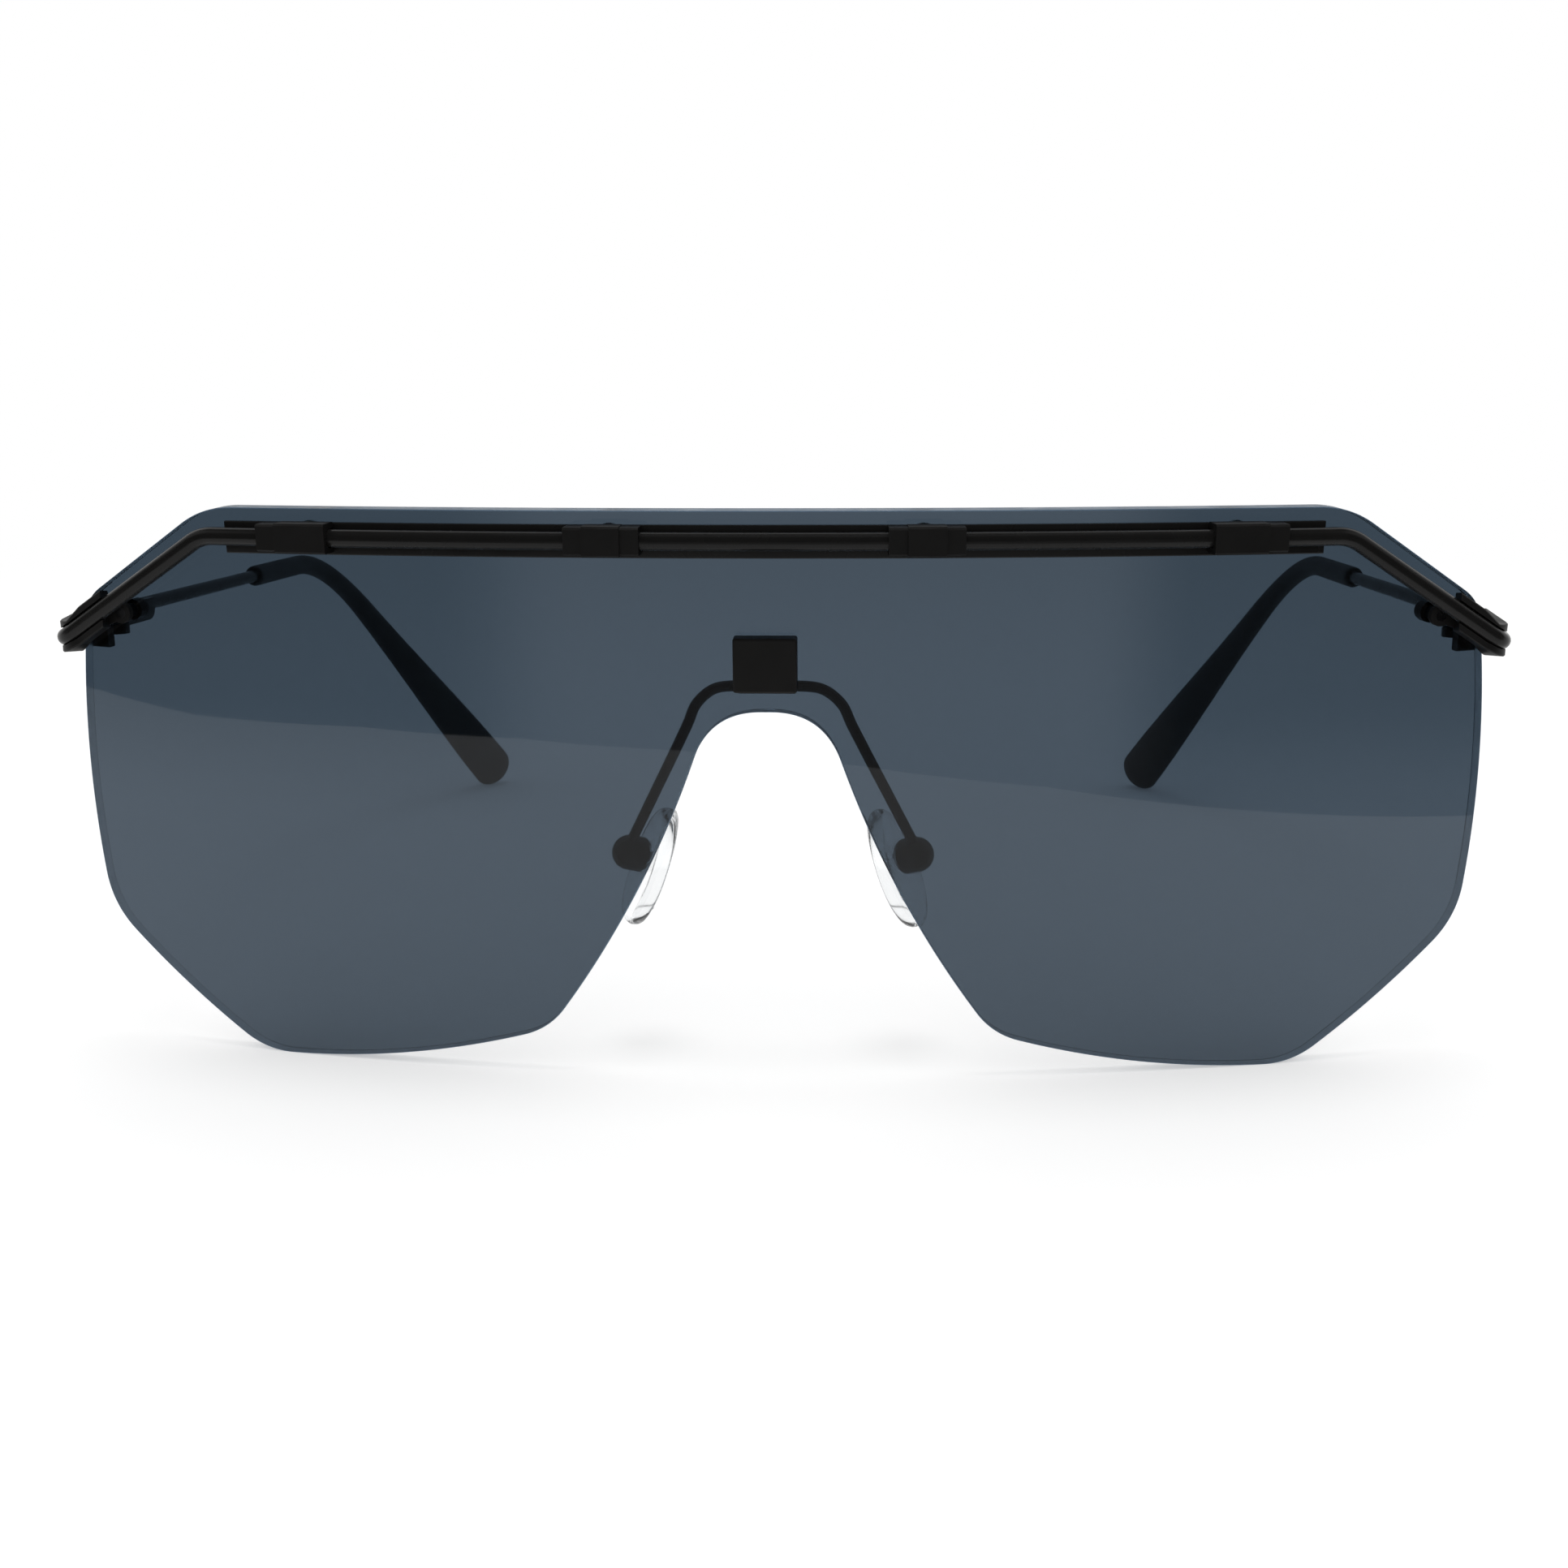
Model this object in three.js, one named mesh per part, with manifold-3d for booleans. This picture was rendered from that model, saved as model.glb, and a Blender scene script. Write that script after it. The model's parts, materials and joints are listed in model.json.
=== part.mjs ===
// Rimless one-piece shield sunglasses: a curved smoke lens with a nose notch, a wire brow bar over a
// flat plate, folding wire temples with moulded tips, and clear nose pads that rock in domed cups.
import * as THREE from "three";
import { mergeVertices } from "three/addons/utils/BufferGeometryUtils.js";
import Module from "manifold-3d";

const wasm = await Module();
wasm.setup();
const degrees = THREE.MathUtils.degToRad;

// Sizes in millimetres. x runs to the right of a viewer who faces the lens, y from that viewer to the
// wearer, z up.
const seat = 0.05; // gap between pieces that rest on each other
const boreGap = 0.1; // gap around a pin or screw in its hole

// Lens: the right half of its outline, from the top centre to the top of the nose notch. Each corner has
// the length that its rounding takes off both sides, and the outward bow of the side that follows it.
const lensRadius = 233;
const lensThickness = 2;
const lensTilt = degrees(3); // the top leans away from the wearer
const blank = { halfAngle: degrees(19), bottom: -3, top: 61, front: -2, back: 18 }; // bent sheet
const lensCorners = [
  { x: 0, z: 58.36, round: 0, bow: 0.13 },
  { x: 56.65, z: 57.83, round: 3.1, bow: 0 },
  { x: 70.95, z: 47.9, round: 1.95, bow: 1.31 },
  { x: 71.48, z: 14.4, round: 3.6, bow: 0.6 },
  { x: 54.3, z: -0.27, round: 3, bow: 1.25 },
  { x: 22.8, z: 4.75, round: 2.8, bow: 1.69 },
  { x: 5.69, z: 38.66, round: 5.15, bow: 0 },
  { x: 0, z: 38.66, round: 0, bow: 0 },
];

// Brow bar: a flat plate on the lens with a round wire in front of it, held by four saddle collars.
const plateThickness = 0.6;
const plateWidth = 3.2;
const browHalfLength = 53.9;
const browHeight = 55.47; // middle line of the plate at the centre
const browFall = 0.46; // how far the ends lie below the centre
const wireRadius = 0.9;
const wireRise = 0.18; // wire axis above the plate's middle line
const wireBend = { x: 56, round: 1.3 }; // where the wire turns down along the clipped corner
const clippedSlope = degrees(34); // fall of the wire along the clipped corner
const plateChamfer = 0.12;
// Each collar has its middle and the lengths of its thinner inner and outer ends.
const collars = { outer: { x: 45.9, steps: [0, 2] }, inner: { x: 15.3, steps: [1.8, 1.8] } };
const collarLength = 7.2;
const collarWidth = 2.95;
const collarRise = 0.25; // its middle above the plate's middle line
const collarRoof = 0.4; // metal in front of the wire
const collarStepDown = 0.25;
const collarChamfer = 0.2;

// Screws through the lens, each with a slotted head, and the washers of the brow screws.
const screwRadius = 0.6;
const screwHead = { radius: 1.2, height: 0.7 };
const headDome = { radius: 0.75, height: 0.6 }; // flat top and straight side, as shares of the head's own
const slotWidth = 0.4;
const slotDepth = 0.3;
const washerRadius = 1.5;
const washerThickness = 0.4;

// Endpiece: a channel holds the wire where both run off the lens, turn round its edge and stop at the hinge.
const channelStart = 68.3; // both flanges are cut off here
const channelDepth = 2.05; // its flanges stop short of the wire's outer side
const channelTurn = 0.7; // rounding where it turns back
const leavesLens = 69.6; // where the wire and channel start to leave the lens
const tailInside = 72.05; // inner face of the channel beside the lens edge
const tailHeight = 44.5;
const tailEnd = 18.6;
const wireTurn = 1.8;

// Lens clamp behind the lens edge, with one screw through it and the lens into a lug of the channel.
const clampThickness = 1;
const clampBlock = { from: 69.9, to: 72.7, bottom: 42.45, top: 46.6 };
const clampScrew = { x: 66.6, z: 46.7, head: 1, headHeight: 0.5 };
const lugRadius = 1.1;
const lugNeck = { x: 70.1, z: 45.3, width: 1.4 }; // where the lug joins the channel, and its clamp the block

// Hinge: three knuckles on one screw. The axis stands square to the temple.
const hingeRadius = 1.35;
const hingeTop = 1.5;
const hingeBottom = -1.7;
const earHeight = 0.95;
const knuckleGap = 0.1;
const hingeBack = 18.75; // depth of the axis behind the lens apex
const hingeScrewRadius = 0.6;
const hingeScrewHead = 1.1;
const hingeScrewHeadHeight = 0.6;
const earLength = 3.6;
const templeFall = degrees(1.9); // fall of the temple towards its tip, in the resting frame
const templeLean = degrees(0.6); // lean of the temple towards the head

// Temple: a wire with a flattened leaf at the hinge and a moulded tip that drops behind the ear.
const templeWireRadius = 0.8;
const templeStart = 0.2; // behind the hinge axis, clear of the endpiece
const leafLength = 15;
const leafTop = 0.85;
const leafBottom = -1.6;
const leafCorner = 1.8; // rounding of its lower rear corner
const tangLength = 5.5;
const tipStart = 54.4;
const tipBend = 86.5;
const tipBendRound = 13;
const tipEnd = new THREE.Vector3(-15.2, 125.4, -40.32);
const tipHalfStart = { up: 1.35, out: 1.3 };
const tipHalfEnd = { up: 3.4, out: 1.6 };
const tipTwist = degrees(-25); // turn of the flat end about its length
const tipMouth = { length: 0.7, inset: 0.3 }; // rounding over the wire
const tipCap = [25, 50, 70, 85].map(degrees); // rings of the round end
const wireInTip = 15;

// Bridge: a square block on the lens front and a bracket behind it that carries the pad arms.
const blockSize = { x: 6.2, y: 1.8, z: 5.35 };
const blockHeight = 43.65;
const blockBevel = 0.25;
const bracketSize = { x: 5.6, y: 1.7, z: 5.2 };
const bracketBottom = 40.2;
const bridgeScrew = { x: 1.5, z: 43.9, reach: 1.2 };

// Nose pads: a wire arm ends in a domed cup, where a ball on the pad's stem can rock.
const armRadius = 0.55;
const armHeight = 40.7;
const armBends = [
  [1.6, 0, 0],
  [3.4, 0.4, 0],
  [5.5, 1.7, -0.65],
  [7.3, 2.7, -2.4],
  [8.3, 3.3, -4.7],
]; // out from the centre, back from the bracket, up from where the arm leaves it
const armInCup = new THREE.Vector3(0.9, -0.5, 1.55); // end of the arm, from the ball's centre
const cupRadius = 1.85;
const cupDepth = 3.3;
const cupRim = 1.5; // straight length of the cup behind its mouth
const cupMouth = 1; // from the ball's centre
const socketRadius = 1.3;
const ballRadius = 1.15;
const neckRadius = 0.55;
const mouthRadius = 0.95;
const padCentre = new THREE.Vector3(14.55, 9.7, 21.3);
const padSplay = degrees(25); // the rear edges stand apart
const padFlare = degrees(20); // the lower ends stand apart
const padLength = 13.6;
const padWidth = 7;
const padThickness = 2.3;
const padRounding = 0.9;
const padWidest = -0.6; // height of the widest line from the middle
const padDrop = 1.2; // stem above the middle of the pad
const padGap = 0.35; // between the cup and the back of the pad
const flangeRadius = 1.5; // flange of the stem, let into the pad
const flangeThickness = 0.35;

// Facets around round pieces
const sides = {
  wire: 10,
  slot: 12,
  arm: 8,
  tip: 12,
  knuckle: 20,
  bore: 16,
  screw: 12,
  washer: 16,
  cup: 16,
  ball: 12,
  pad: 24,
};
// Facets along curves and paths
const pieces = {
  lensArc: 20,
  lensEdge: 6,
  bend: 5,
  plate: 26,
  collarSlot: 3,
  clamp: 2,
  leafCorner: 5,
  arm: 21,
  dome: 5,
  socket: 6,
  ball: 7,
  padEdge: 2,
};
const step = 3.4; // most length of a facet along a bent wire
const weld = 1e-4; // points this close are one

const blackMetal = new THREE.MeshStandardMaterial({ color: 0x1b1b1c, roughness: 0.35, metalness: 0.8 });
const darkSteel = new THREE.MeshStandardMaterial({ color: 0x2a2a2c, roughness: 0.3, metalness: 0.9 });
const smokeLens = new THREE.MeshStandardMaterial({ color: 0x3d4a57, roughness: 0.05, metalness: 0 });
const clearSilicone = new THREE.MeshStandardMaterial({ color: 0xe9eef0, roughness: 0.2, metalness: 0 });
const whiteNylon = new THREE.MeshStandardMaterial({ color: 0xd8d8d4, roughness: 0.5, metalness: 0 });
const blackTip = new THREE.MeshStandardMaterial({ color: 0x141618, roughness: 0.45, metalness: 0 });

// Solids and meshes

function solid(geometry) {
  const bare = geometry.index ? geometry.toNonIndexed() : geometry.clone();
  bare.deleteAttribute("normal");
  bare.deleteAttribute("uv");
  const merged = mergeVertices(bare, weld);
  const vertProperties = merged.attributes.position.array;
  const triVerts = new Uint32Array(merged.index.array);
  return new wasm.Manifold(new wasm.Mesh({ numProp: 3, vertProperties, triVerts }));
}

function geometryOf(body) {
  const made = body.getMesh();
  const geometry = new THREE.BufferGeometry();
  geometry.setAttribute("position", new THREE.BufferAttribute(made.vertProperties, 3));
  geometry.setIndex(new THREE.BufferAttribute(made.triVerts, 1));
  const faceted = geometry.toNonIndexed();
  faceted.computeVertexNormals();
  return faceted;
}

function cut(geometry, ...tools) {
  return geometryOf(tools.reduce((body, tool) => body.subtract(solid(tool)), solid(geometry)));
}

function join(...geometries) {
  return geometryOf(geometries.map(solid).reduce((body, next) => body.add(next)));
}

function piece(name, geometry, material) {
  const mesh = new THREE.Mesh(geometry, material);
  mesh.name = name;
  return mesh;
}

// Paths and sweeps

// Points along straight stretches joined by round bends, about a step apart.
function bentLine(corners, step) {
  const stretches = [];
  let from = corners[0].at;
  for (let i = 1; i < corners.length; i++) {
    const { at, round = 0 } = corners[i];
    const before = at.clone().add(from.clone().sub(at).setLength(round));
    stretches.push(new THREE.LineCurve3(from, before));
    if (i + 1 < corners.length) {
      from = at.clone().add(corners[i + 1].at.clone().sub(at).setLength(round));
      stretches.push(new THREE.QuadraticBezierCurve3(before, at, from));
    }
  }
  const least = { LineCurve3: 1, QuadraticBezierCurve3: pieces.bend };
  const points = [corners[0].at];
  for (const stretch of stretches) {
    const count = Math.max(least[stretch.type], Math.ceil(stretch.getLength() / step));
    points.push(...stretch.getPoints(count).slice(1));
  }
  return points;
}

// A closed skin over rings of equally many points. Each ring goes round the path by the right hand.
function skin(rings) {
  const count = rings[0].length;
  const index = [];
  for (let r = 0; r + 1 < rings.length; r++) {
    for (let i = 0; i < count; i++) {
      const a = r * count + i;
      const b = r * count + ((i + 1) % count);
      index.push(a, b, b + count, a, b + count, a + count);
    }
  }
  const last = (rings.length - 1) * count;
  for (let i = 1; i + 1 < count; i++) {
    index.push(0, i + 1, i, last, last + i, last + i + 1);
  }
  return new THREE.BufferGeometry().setFromPoints(rings.flat()).setIndex(index);
}

// A section of [up, out] pairs carried along a path: out is level and to the right of the way the path goes.
function sweep(path, sectionAt) {
  const up = new THREE.Vector3(0, 0, 1);
  const rings = path.map((centre, i) => {
    const before = path[Math.max(i - 1, 0)];
    const after = path[Math.min(i + 1, path.length - 1)];
    const along = after.clone().sub(before).normalize();
    const out = along.clone().cross(up).normalize();
    const across = out.clone().cross(along);
    return sectionAt(i).map(([a, b]) => centre.clone().addScaledVector(across, a).addScaledVector(out, b));
  });
  return skin(rings);
}

function ellipse(halfUp, halfOut, count, turn = 0) {
  return Array.from({ length: count }, (_, i) => {
    const angle = ((i + 0.5) / count) * 2 * Math.PI;
    const section = new THREE.Vector2(halfUp * Math.cos(angle), halfOut * Math.sin(angle));
    return section.rotateAround(new THREE.Vector2(), turn).toArray();
  });
}

function circle(radius, count) {
  return ellipse(radius, radius, count);
}

// A rectangle with its corners cut off, centred on the path.
function strip(width, thickness, corner) {
  const a = width / 2;
  const b = thickness / 2;
  return [
    [a, -b + corner],
    [a, b - corner],
    [a - corner, b],
    [-a + corner, b],
    [-a, b - corner],
    [-a, -b + corner],
    [-a + corner, -b],
    [a - corner, -b],
  ];
}

// Round pieces about the y axis, from [radius, height] pairs that go up the outside.
function turned(profile, count) {
  return new THREE.LatheGeometry(profile.map(([radius, height]) => new THREE.Vector2(radius, height)), count);
}

function box(from, to) {
  const size = to.clone().sub(from);
  const middle = from.clone().add(to).multiplyScalar(0.5);
  return new THREE.BoxGeometry(size.x, size.y, size.z).translate(middle.x, middle.y, middle.z);
}

function upright(radius, bottom, top, count) {
  const height = top - bottom;
  return new THREE.CylinderGeometry(radius, radius, height, count)
    .rotateX(Math.PI / 2)
    .translate(0, 0, bottom + height / 2);
}

// Places on the lens

// A point at a chord position and height, a distance in front of the lens.
function onLens(x, z, out) {
  const angle = Math.asin(x / lensRadius);
  const reach = lensRadius + out;
  return new THREE.Vector3(reach * Math.sin(angle), lensRadius - reach * Math.cos(angle), z);
}

// Turns and moves what is made about the y axis, with its front end at -y, to stand square on the lens.
function standOnLens(object, x, z, out = 0) {
  object.position.copy(onLens(x, z, out));
  object.rotation.z = Math.asin(x / lensRadius);
  return object;
}

function standingOnLens(geometry, x, z, out) {
  const place = standOnLens(new THREE.Object3D(), x, z, out);
  place.updateMatrix();
  return geometry.applyMatrix4(place.matrix);
}

function lensHole(x, z, radius, ahead = lensThickness, behind = 3 * lensThickness) {
  const hole = new THREE.CylinderGeometry(radius, radius, ahead + behind, sides.bore);
  return standingOnLens(hole.translate(0, (behind - ahead) / 2, 0), x, z, 0);
}

function browLine(x) {
  return browHeight - browFall * (x / browHalfLength) ** 2;
}

// Lens

function bowedSide(from, to) {
  const start = new THREE.Vector2(from.x, from.z);
  const end = new THREE.Vector2(to.x, to.z);
  const along = end.clone().sub(start);
  const length = along.length();
  const outward = new THREE.Vector2(-along.y, along.x).divideScalar(length);
  const control = start.clone().lerp(end, 0.5).addScaledVector(outward, 2 * from.bow);
  const blend = (s, t) =>
    start
      .clone()
      .multiplyScalar((1 - s) * (1 - t))
      .addScaledVector(control, s + t - 2 * s * t)
      .addScaledVector(end, s * t);
  const first = from.round / length;
  const last = 1 - to.round / length;
  return new THREE.QuadraticBezierCurve(blend(first, first), blend(first, last), blend(last, last));
}

// The rounding between two sides, with its control point where their end tangents cross.
function roundedCorner(into, outOf) {
  const ahead = into.v2.clone().sub(into.v1);
  const onward = outOf.v1.clone().sub(outOf.v0);
  const apart = outOf.v0.clone().sub(into.v2);
  const reach = apart.cross(onward) / ahead.cross(onward);
  return new THREE.QuadraticBezierCurve(into.v2, into.v2.clone().addScaledVector(ahead, reach), outOf.v0);
}

function lensOutline() {
  const sides = lensCorners.slice(1).map((corner, i) => bowedSide(lensCorners[i], corner));
  const half = sides.flatMap((side, i) => (i ? [roundedCorner(sides[i - 1], side), side] : [side]));
  const outline = new THREE.Shape();
  outline.moveTo(lensCorners[0].x, lensCorners[0].z);
  for (const { v1, v2 } of half) {
    outline.quadraticCurveTo(v1.x, v1.y, v2.x, v2.y);
  }
  for (const { v0, v1 } of half.reverse()) {
    outline.quadraticCurveTo(-v1.x, v1.y, -v0.x, v0.y);
  }
  return outline;
}

function lensGeometry(holes) {
  const ends = [-Math.PI / 2 - blank.halfAngle, -Math.PI / 2 + blank.halfAngle];
  const arc = new THREE.Shape();
  arc.absarc(0, lensRadius, lensRadius, ends[0], ends[1], false);
  arc.absarc(0, lensRadius, lensRadius - lensThickness, ends[1], ends[0], true);
  const sheet = new THREE.ExtrudeGeometry(arc, {
    depth: blank.top - blank.bottom,
    bevelEnabled: false,
    curveSegments: pieces.lensArc,
  });
  sheet.translate(0, 0, blank.bottom);
  const cutter = new THREE.ExtrudeGeometry(lensOutline(), {
    depth: blank.back - blank.front,
    bevelEnabled: false,
    curveSegments: pieces.lensEdge,
  });
  cutter.rotateX(Math.PI / 2).translate(0, blank.back, 0);
  const lens = solid(sheet).intersect(solid(cutter));
  return geometryOf(holes.reduce((body, hole) => body.subtract(solid(hole)), lens));
}

// Brow bar and endpieces

const both = [1, -1];

const plateOut = seat + plateThickness / 2;
const wireOut = seat + plateThickness + seat + wireRadius;

function flat(x, z) {
  return new THREE.Vector3(x, z, 0);
}

function besideBend(x) {
  return browHeight + wireRise - browFall - (x - wireBend.x) * Math.tan(clippedSlope);
}

// The right half of the wire's way across the brow and down the clipped corner, on the flat sheet.
function wireOnSheet() {
  const level = browHeight + wireRise;
  const half = wireBend.x / 2;
  return bentLine(
    [
      { at: flat(0, level) },
      { at: flat(half, level), round: half - wireBend.round },
      { at: flat(wireBend.x, besideBend(wireBend.x)), round: wireBend.round },
      { at: flat(leavesLens, besideBend(leavesLens)) },
    ],
    step,
  );
}

// Carries points on the flat sheet to the lens, on past its edge, round and back to the hinge.
function aroundEdge(sheetPoints, out, tailX, turn) {
  const onSheet = sheetPoints.map((p) => onLens(p.x, p.y, out));
  const [before, last] = onSheet.slice(-2);
  const onward = last.clone().sub(before);
  const corner = last.clone().addScaledVector(onward, (tailX - last.x) / onward.x);
  const stop = new THREE.Vector3(tailX, tailEnd, tailHeight);
  const offLens = bentLine([{ at: last }, { at: corner, round: turn }, { at: stop }], step);
  return onSheet.slice(0, -1).concat(offLens);
}

// The right half of the wire's way, from the middle of the brow to the hinge.
function wireWay() {
  return aroundEdge(wireOnSheet(), wireOut, tailInside + plateThickness + seat + wireRadius, wireTurn);
}

function mirrored(path) {
  return path.map((p) => new THREE.Vector3(-p.x, p.y, p.z));
}

function browWire() {
  const right = wireWay();
  const left = mirrored(right.slice(1));
  return sweep(left.reverse().concat(right), () => circle(wireRadius, sides.wire));
}

// The wire's room as a round-bottomed slot, open away from the lens (1) or towards it (-1).
function wireSlot(opens, depth) {
  const room = wireRadius + seat;
  const start = opens > 0 ? Math.PI : 0;
  const round = evenly(start, start + Math.PI, sides.slot / 2).map((turn) => [
    room * Math.cos(turn),
    room * Math.sin(turn),
  ]);
  return [...round, [opens * room, opens * depth], [-opens * room, opens * depth]];
}

function endpiece() {
  const begin = channelStart - plateWidth / 2;
  const ends = [begin, leavesLens].map((x) => flat(x, besideBend(x)));
  const way = aroundEdge(ends, seat, tailInside, channelTurn);
  const bar = sweep(way, () => standing(strip(plateWidth, channelDepth, plateChamfer)));
  const offcut = box(
    new THREE.Vector3(begin - plateWidth, -blank.back, blank.bottom),
    new THREE.Vector3(channelStart, blank.back, blank.top),
  );
  const channel = cut(bar, offcut, sweep(wireWay(), () => wireSlot(1, channelDepth)));
  return cut(join(channel, ...lug(plateOut, plateThickness)), clampHole());
}

// A round lug about the clamp screw and the neck that joins it to its piece, at a distance from the lens.
function lug(out, thickness) {
  const disc = new THREE.CylinderGeometry(lugRadius, lugRadius, thickness, sides.screw);
  const way = [clampScrew, lugNeck].map(({ x, z }) => onLens(x, z, out));
  return [
    standingOnLens(disc, clampScrew.x, clampScrew.z, out),
    sweep(way, () => strip(lugNeck.width, thickness, plateChamfer)),
  ];
}

function clampHole() {
  return lensHole(clampScrew.x, clampScrew.z, screwRadius + boreGap);
}

function alongBrow(places, out, rise) {
  return places.map((x) => onLens(x, browLine(x) + rise, out));
}

function evenly(from, to, count) {
  return Array.from({ length: count + 1 }, (_, i) => from + ((to - from) * i) / count);
}

function browPlate(holes) {
  const way = alongBrow(evenly(-browHalfLength, browHalfLength, pieces.plate), plateOut, 0);
  return cut(sweep(way, () => strip(plateWidth, plateThickness, plateChamfer)), ...holes);
}

// A saddle over the wire with a thinner step at one or both ends, open towards the plate.
function collar(middle, innerStep, outerStep) {
  const from = middle - collarLength / 2;
  const to = middle + collarLength / 2;
  const depth = 2 * wireRadius + seat + collarRoof;
  const base = seat + plateThickness + seat;
  const thin = strip(collarWidth - collarStepDown, depth - collarStepDown, collarChamfer);
  const thick = strip(collarWidth, depth, collarChamfer);
  const stations = [
    ...(innerStep ? [[from, thin], [from + innerStep, thin]] : []),
    [from + innerStep, thick],
    [to - outerStep, thick],
    ...(outerStep ? [[to - outerStep, thin], [to, thin]] : []),
  ];
  const way = alongBrow(stations.map(([x]) => x), base, collarRise);
  const saddle = sweep(way, (i) => standing(stations[i][1]));
  const slotWay = alongBrow(evenly(from - collarRoof, to + collarRoof, pieces.collarSlot), wireOut, wireRise);
  return cut(saddle, sweep(slotWay, () => wireSlot(-1, 2 * wireRadius)));
}

// Moves a section out so that it stands on its path.
function standing(section) {
  const lowest = Math.min(...section.map(([, out]) => out));
  return section.map(([up, out]) => [up, out - lowest]);
}

// Fasteners, made about the y axis with the driven head at the rear

function screw(front, head, shankRadius, headRadius, headHeight) {
  const top = head + headHeight;
  const bolt = turned(
    [
      [0, front],
      [shankRadius, front],
      [shankRadius, head],
      [headRadius, head],
      [headRadius, head + headDome.height * headHeight],
      [headDome.radius * headRadius, top],
      [0, top],
    ],
    sides.screw,
  );
  const slot = box(
    new THREE.Vector3(-headRadius, top - slotDepth, -slotWidth / 2),
    new THREE.Vector3(headRadius, top + slotDepth, slotWidth / 2),
  );
  return cut(bolt, slot);
}

function washer(front) {
  const back = front + washerThickness;
  const inside = screwRadius + boreGap;
  return turned(
    [
      [inside, front],
      [washerRadius, front],
      [washerRadius, back],
      [inside, back],
      [inside, front],
    ],
    sides.washer,
  );
}

// Lens clamp

function lensClamp() {
  const { from, to, bottom, top } = clampBlock;
  const out = -(lensThickness + seat + clampThickness / 2);
  const way = evenly(from, to, pieces.clamp).map((x) => onLens(x, (bottom + top) / 2, out));
  const block = sweep(way, () => strip(top - bottom, clampThickness, plateChamfer));
  return cut(join(block, ...lug(out, clampThickness)), clampHole());
}

// Hinge, about its own axis: x away from the head, y along the temple, z up the axis

const lowerEar = [hingeBottom, hingeBottom + earHeight];
const upperEar = [hingeTop - earHeight, hingeTop];
const middleKnuckle = [lowerEar[1] + knuckleGap, upperEar[0] - knuckleGap];
const hingeBore = () =>
  upright(hingeScrewRadius + boreGap / 2, hingeBottom - earHeight, hingeTop + earHeight, sides.bore);

function hingeBracket() {
  const ear = ([bottom, top]) =>
    join(
      upright(hingeRadius, bottom, top, sides.knuckle),
      box(new THREE.Vector3(0, -earLength, bottom), new THREE.Vector3(hingeRadius, 0, top)),
    );
  const web = box(
    new THREE.Vector3(0, -earLength, hingeBottom),
    new THREE.Vector3(hingeRadius, -hingeRadius - 2 * knuckleGap, hingeTop),
  );
  return cut(join(ear(lowerEar), ear(upperEar), web), hingeBore());
}

function templeKnuckle() {
  const [bottom, top] = middleKnuckle;
  const tang = box(
    new THREE.Vector3(0, 0, bottom),
    new THREE.Vector3(hingeRadius, tangLength, top),
  );
  return cut(join(upright(hingeRadius, bottom, top, sides.knuckle), tang), hingeBore());
}

function hingeScrew() {
  const bolt = screw(hingeBottom, hingeTop + seat, hingeScrewRadius, hingeScrewHead, hingeScrewHeadHeight);
  return bolt.rotateX(Math.PI / 2);
}

// Temple, in the same frame

const leafInside = hingeRadius + seat;
const templeWireX = leafInside + plateThickness + seat + templeWireRadius;

function templeLeaf() {
  const outline = new THREE.Shape();
  outline.moveTo(templeStart, leafBottom);
  outline.lineTo(leafLength - leafCorner, leafBottom);
  outline.quadraticCurveTo(leafLength, leafBottom, leafLength, leafBottom + leafCorner);
  outline.lineTo(leafLength, leafTop);
  outline.lineTo(templeStart, leafTop);
  const leaf = new THREE.ExtrudeGeometry(outline, {
    depth: plateThickness,
    bevelEnabled: false,
    curveSegments: pieces.leafCorner,
  });
  // The outline lies in the y-z plane and is extruded along x.
  leaf.applyMatrix4(new THREE.Matrix4().set(0, 0, 1, leafInside, 1, 0, 0, 0, 0, 1, 0, 0, 0, 0, 0, 1));
  return leaf;
}

function templeWire() {
  const way = [templeStart, tipStart + wireInTip].map((y) => new THREE.Vector3(templeWireX, y, 0));
  return sweep(way, () => circle(templeWireRadius, sides.wire));
}

function templeTip() {
  const bend = new THREE.Vector3(templeWireX, tipBend, 0);
  const down = tipEnd.clone().sub(bend).normalize();
  const capStart = tipEnd.clone().addScaledVector(down, -tipHalfEnd.up);
  const way = bentLine(
    [
      { at: new THREE.Vector3(templeWireX, tipStart, 0) },
      { at: bend, round: tipBendRound },
      { at: capStart },
    ],
    step,
  );
  const grown = way.map((p) => THREE.MathUtils.smoothstep(p.y, tipBend, tipEnd.y));
  const rings = grown.map((share) => ({
    up: THREE.MathUtils.lerp(tipHalfStart.up, tipHalfEnd.up, share),
    out: THREE.MathUtils.lerp(tipHalfStart.out, tipHalfEnd.out, share),
    turn: share * tipTwist,
  }));
  for (const angle of tipCap) {
    const left = Math.cos(angle);
    way.push(capStart.clone().addScaledVector(down, tipHalfEnd.up * Math.sin(angle)));
    rings.push({ up: tipHalfEnd.up * left, out: tipHalfEnd.out * left, turn: tipTwist });
  }
  // The mouth of the tip is rounded back over the wire.
  way.splice(1, 0, way[0].clone().add(new THREE.Vector3(0, tipMouth.length, 0)));
  rings.unshift({ ...rings[0], up: rings[0].up - tipMouth.inset, out: rings[0].out - tipMouth.inset });
  const coreEnds = [tipStart - seat, tipStart + wireInTip + seat];
  const core = coreEnds.map((y) => new THREE.Vector3(templeWireX, y, 0));
  return cut(
    sweep(way, (i) => ellipse(rings[i].up, rings[i].out, sides.tip, rings[i].turn)),
    sweep(core, () => circle(templeWireRadius + seat, sides.wire)),
  );
}

// Bridge and nose pads

const padPlace = new THREE.Object3D();
padPlace.position.copy(padCentre);
padPlace.rotation.set(0, -padFlare, -padSplay);
padPlace.updateMatrix();

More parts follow.
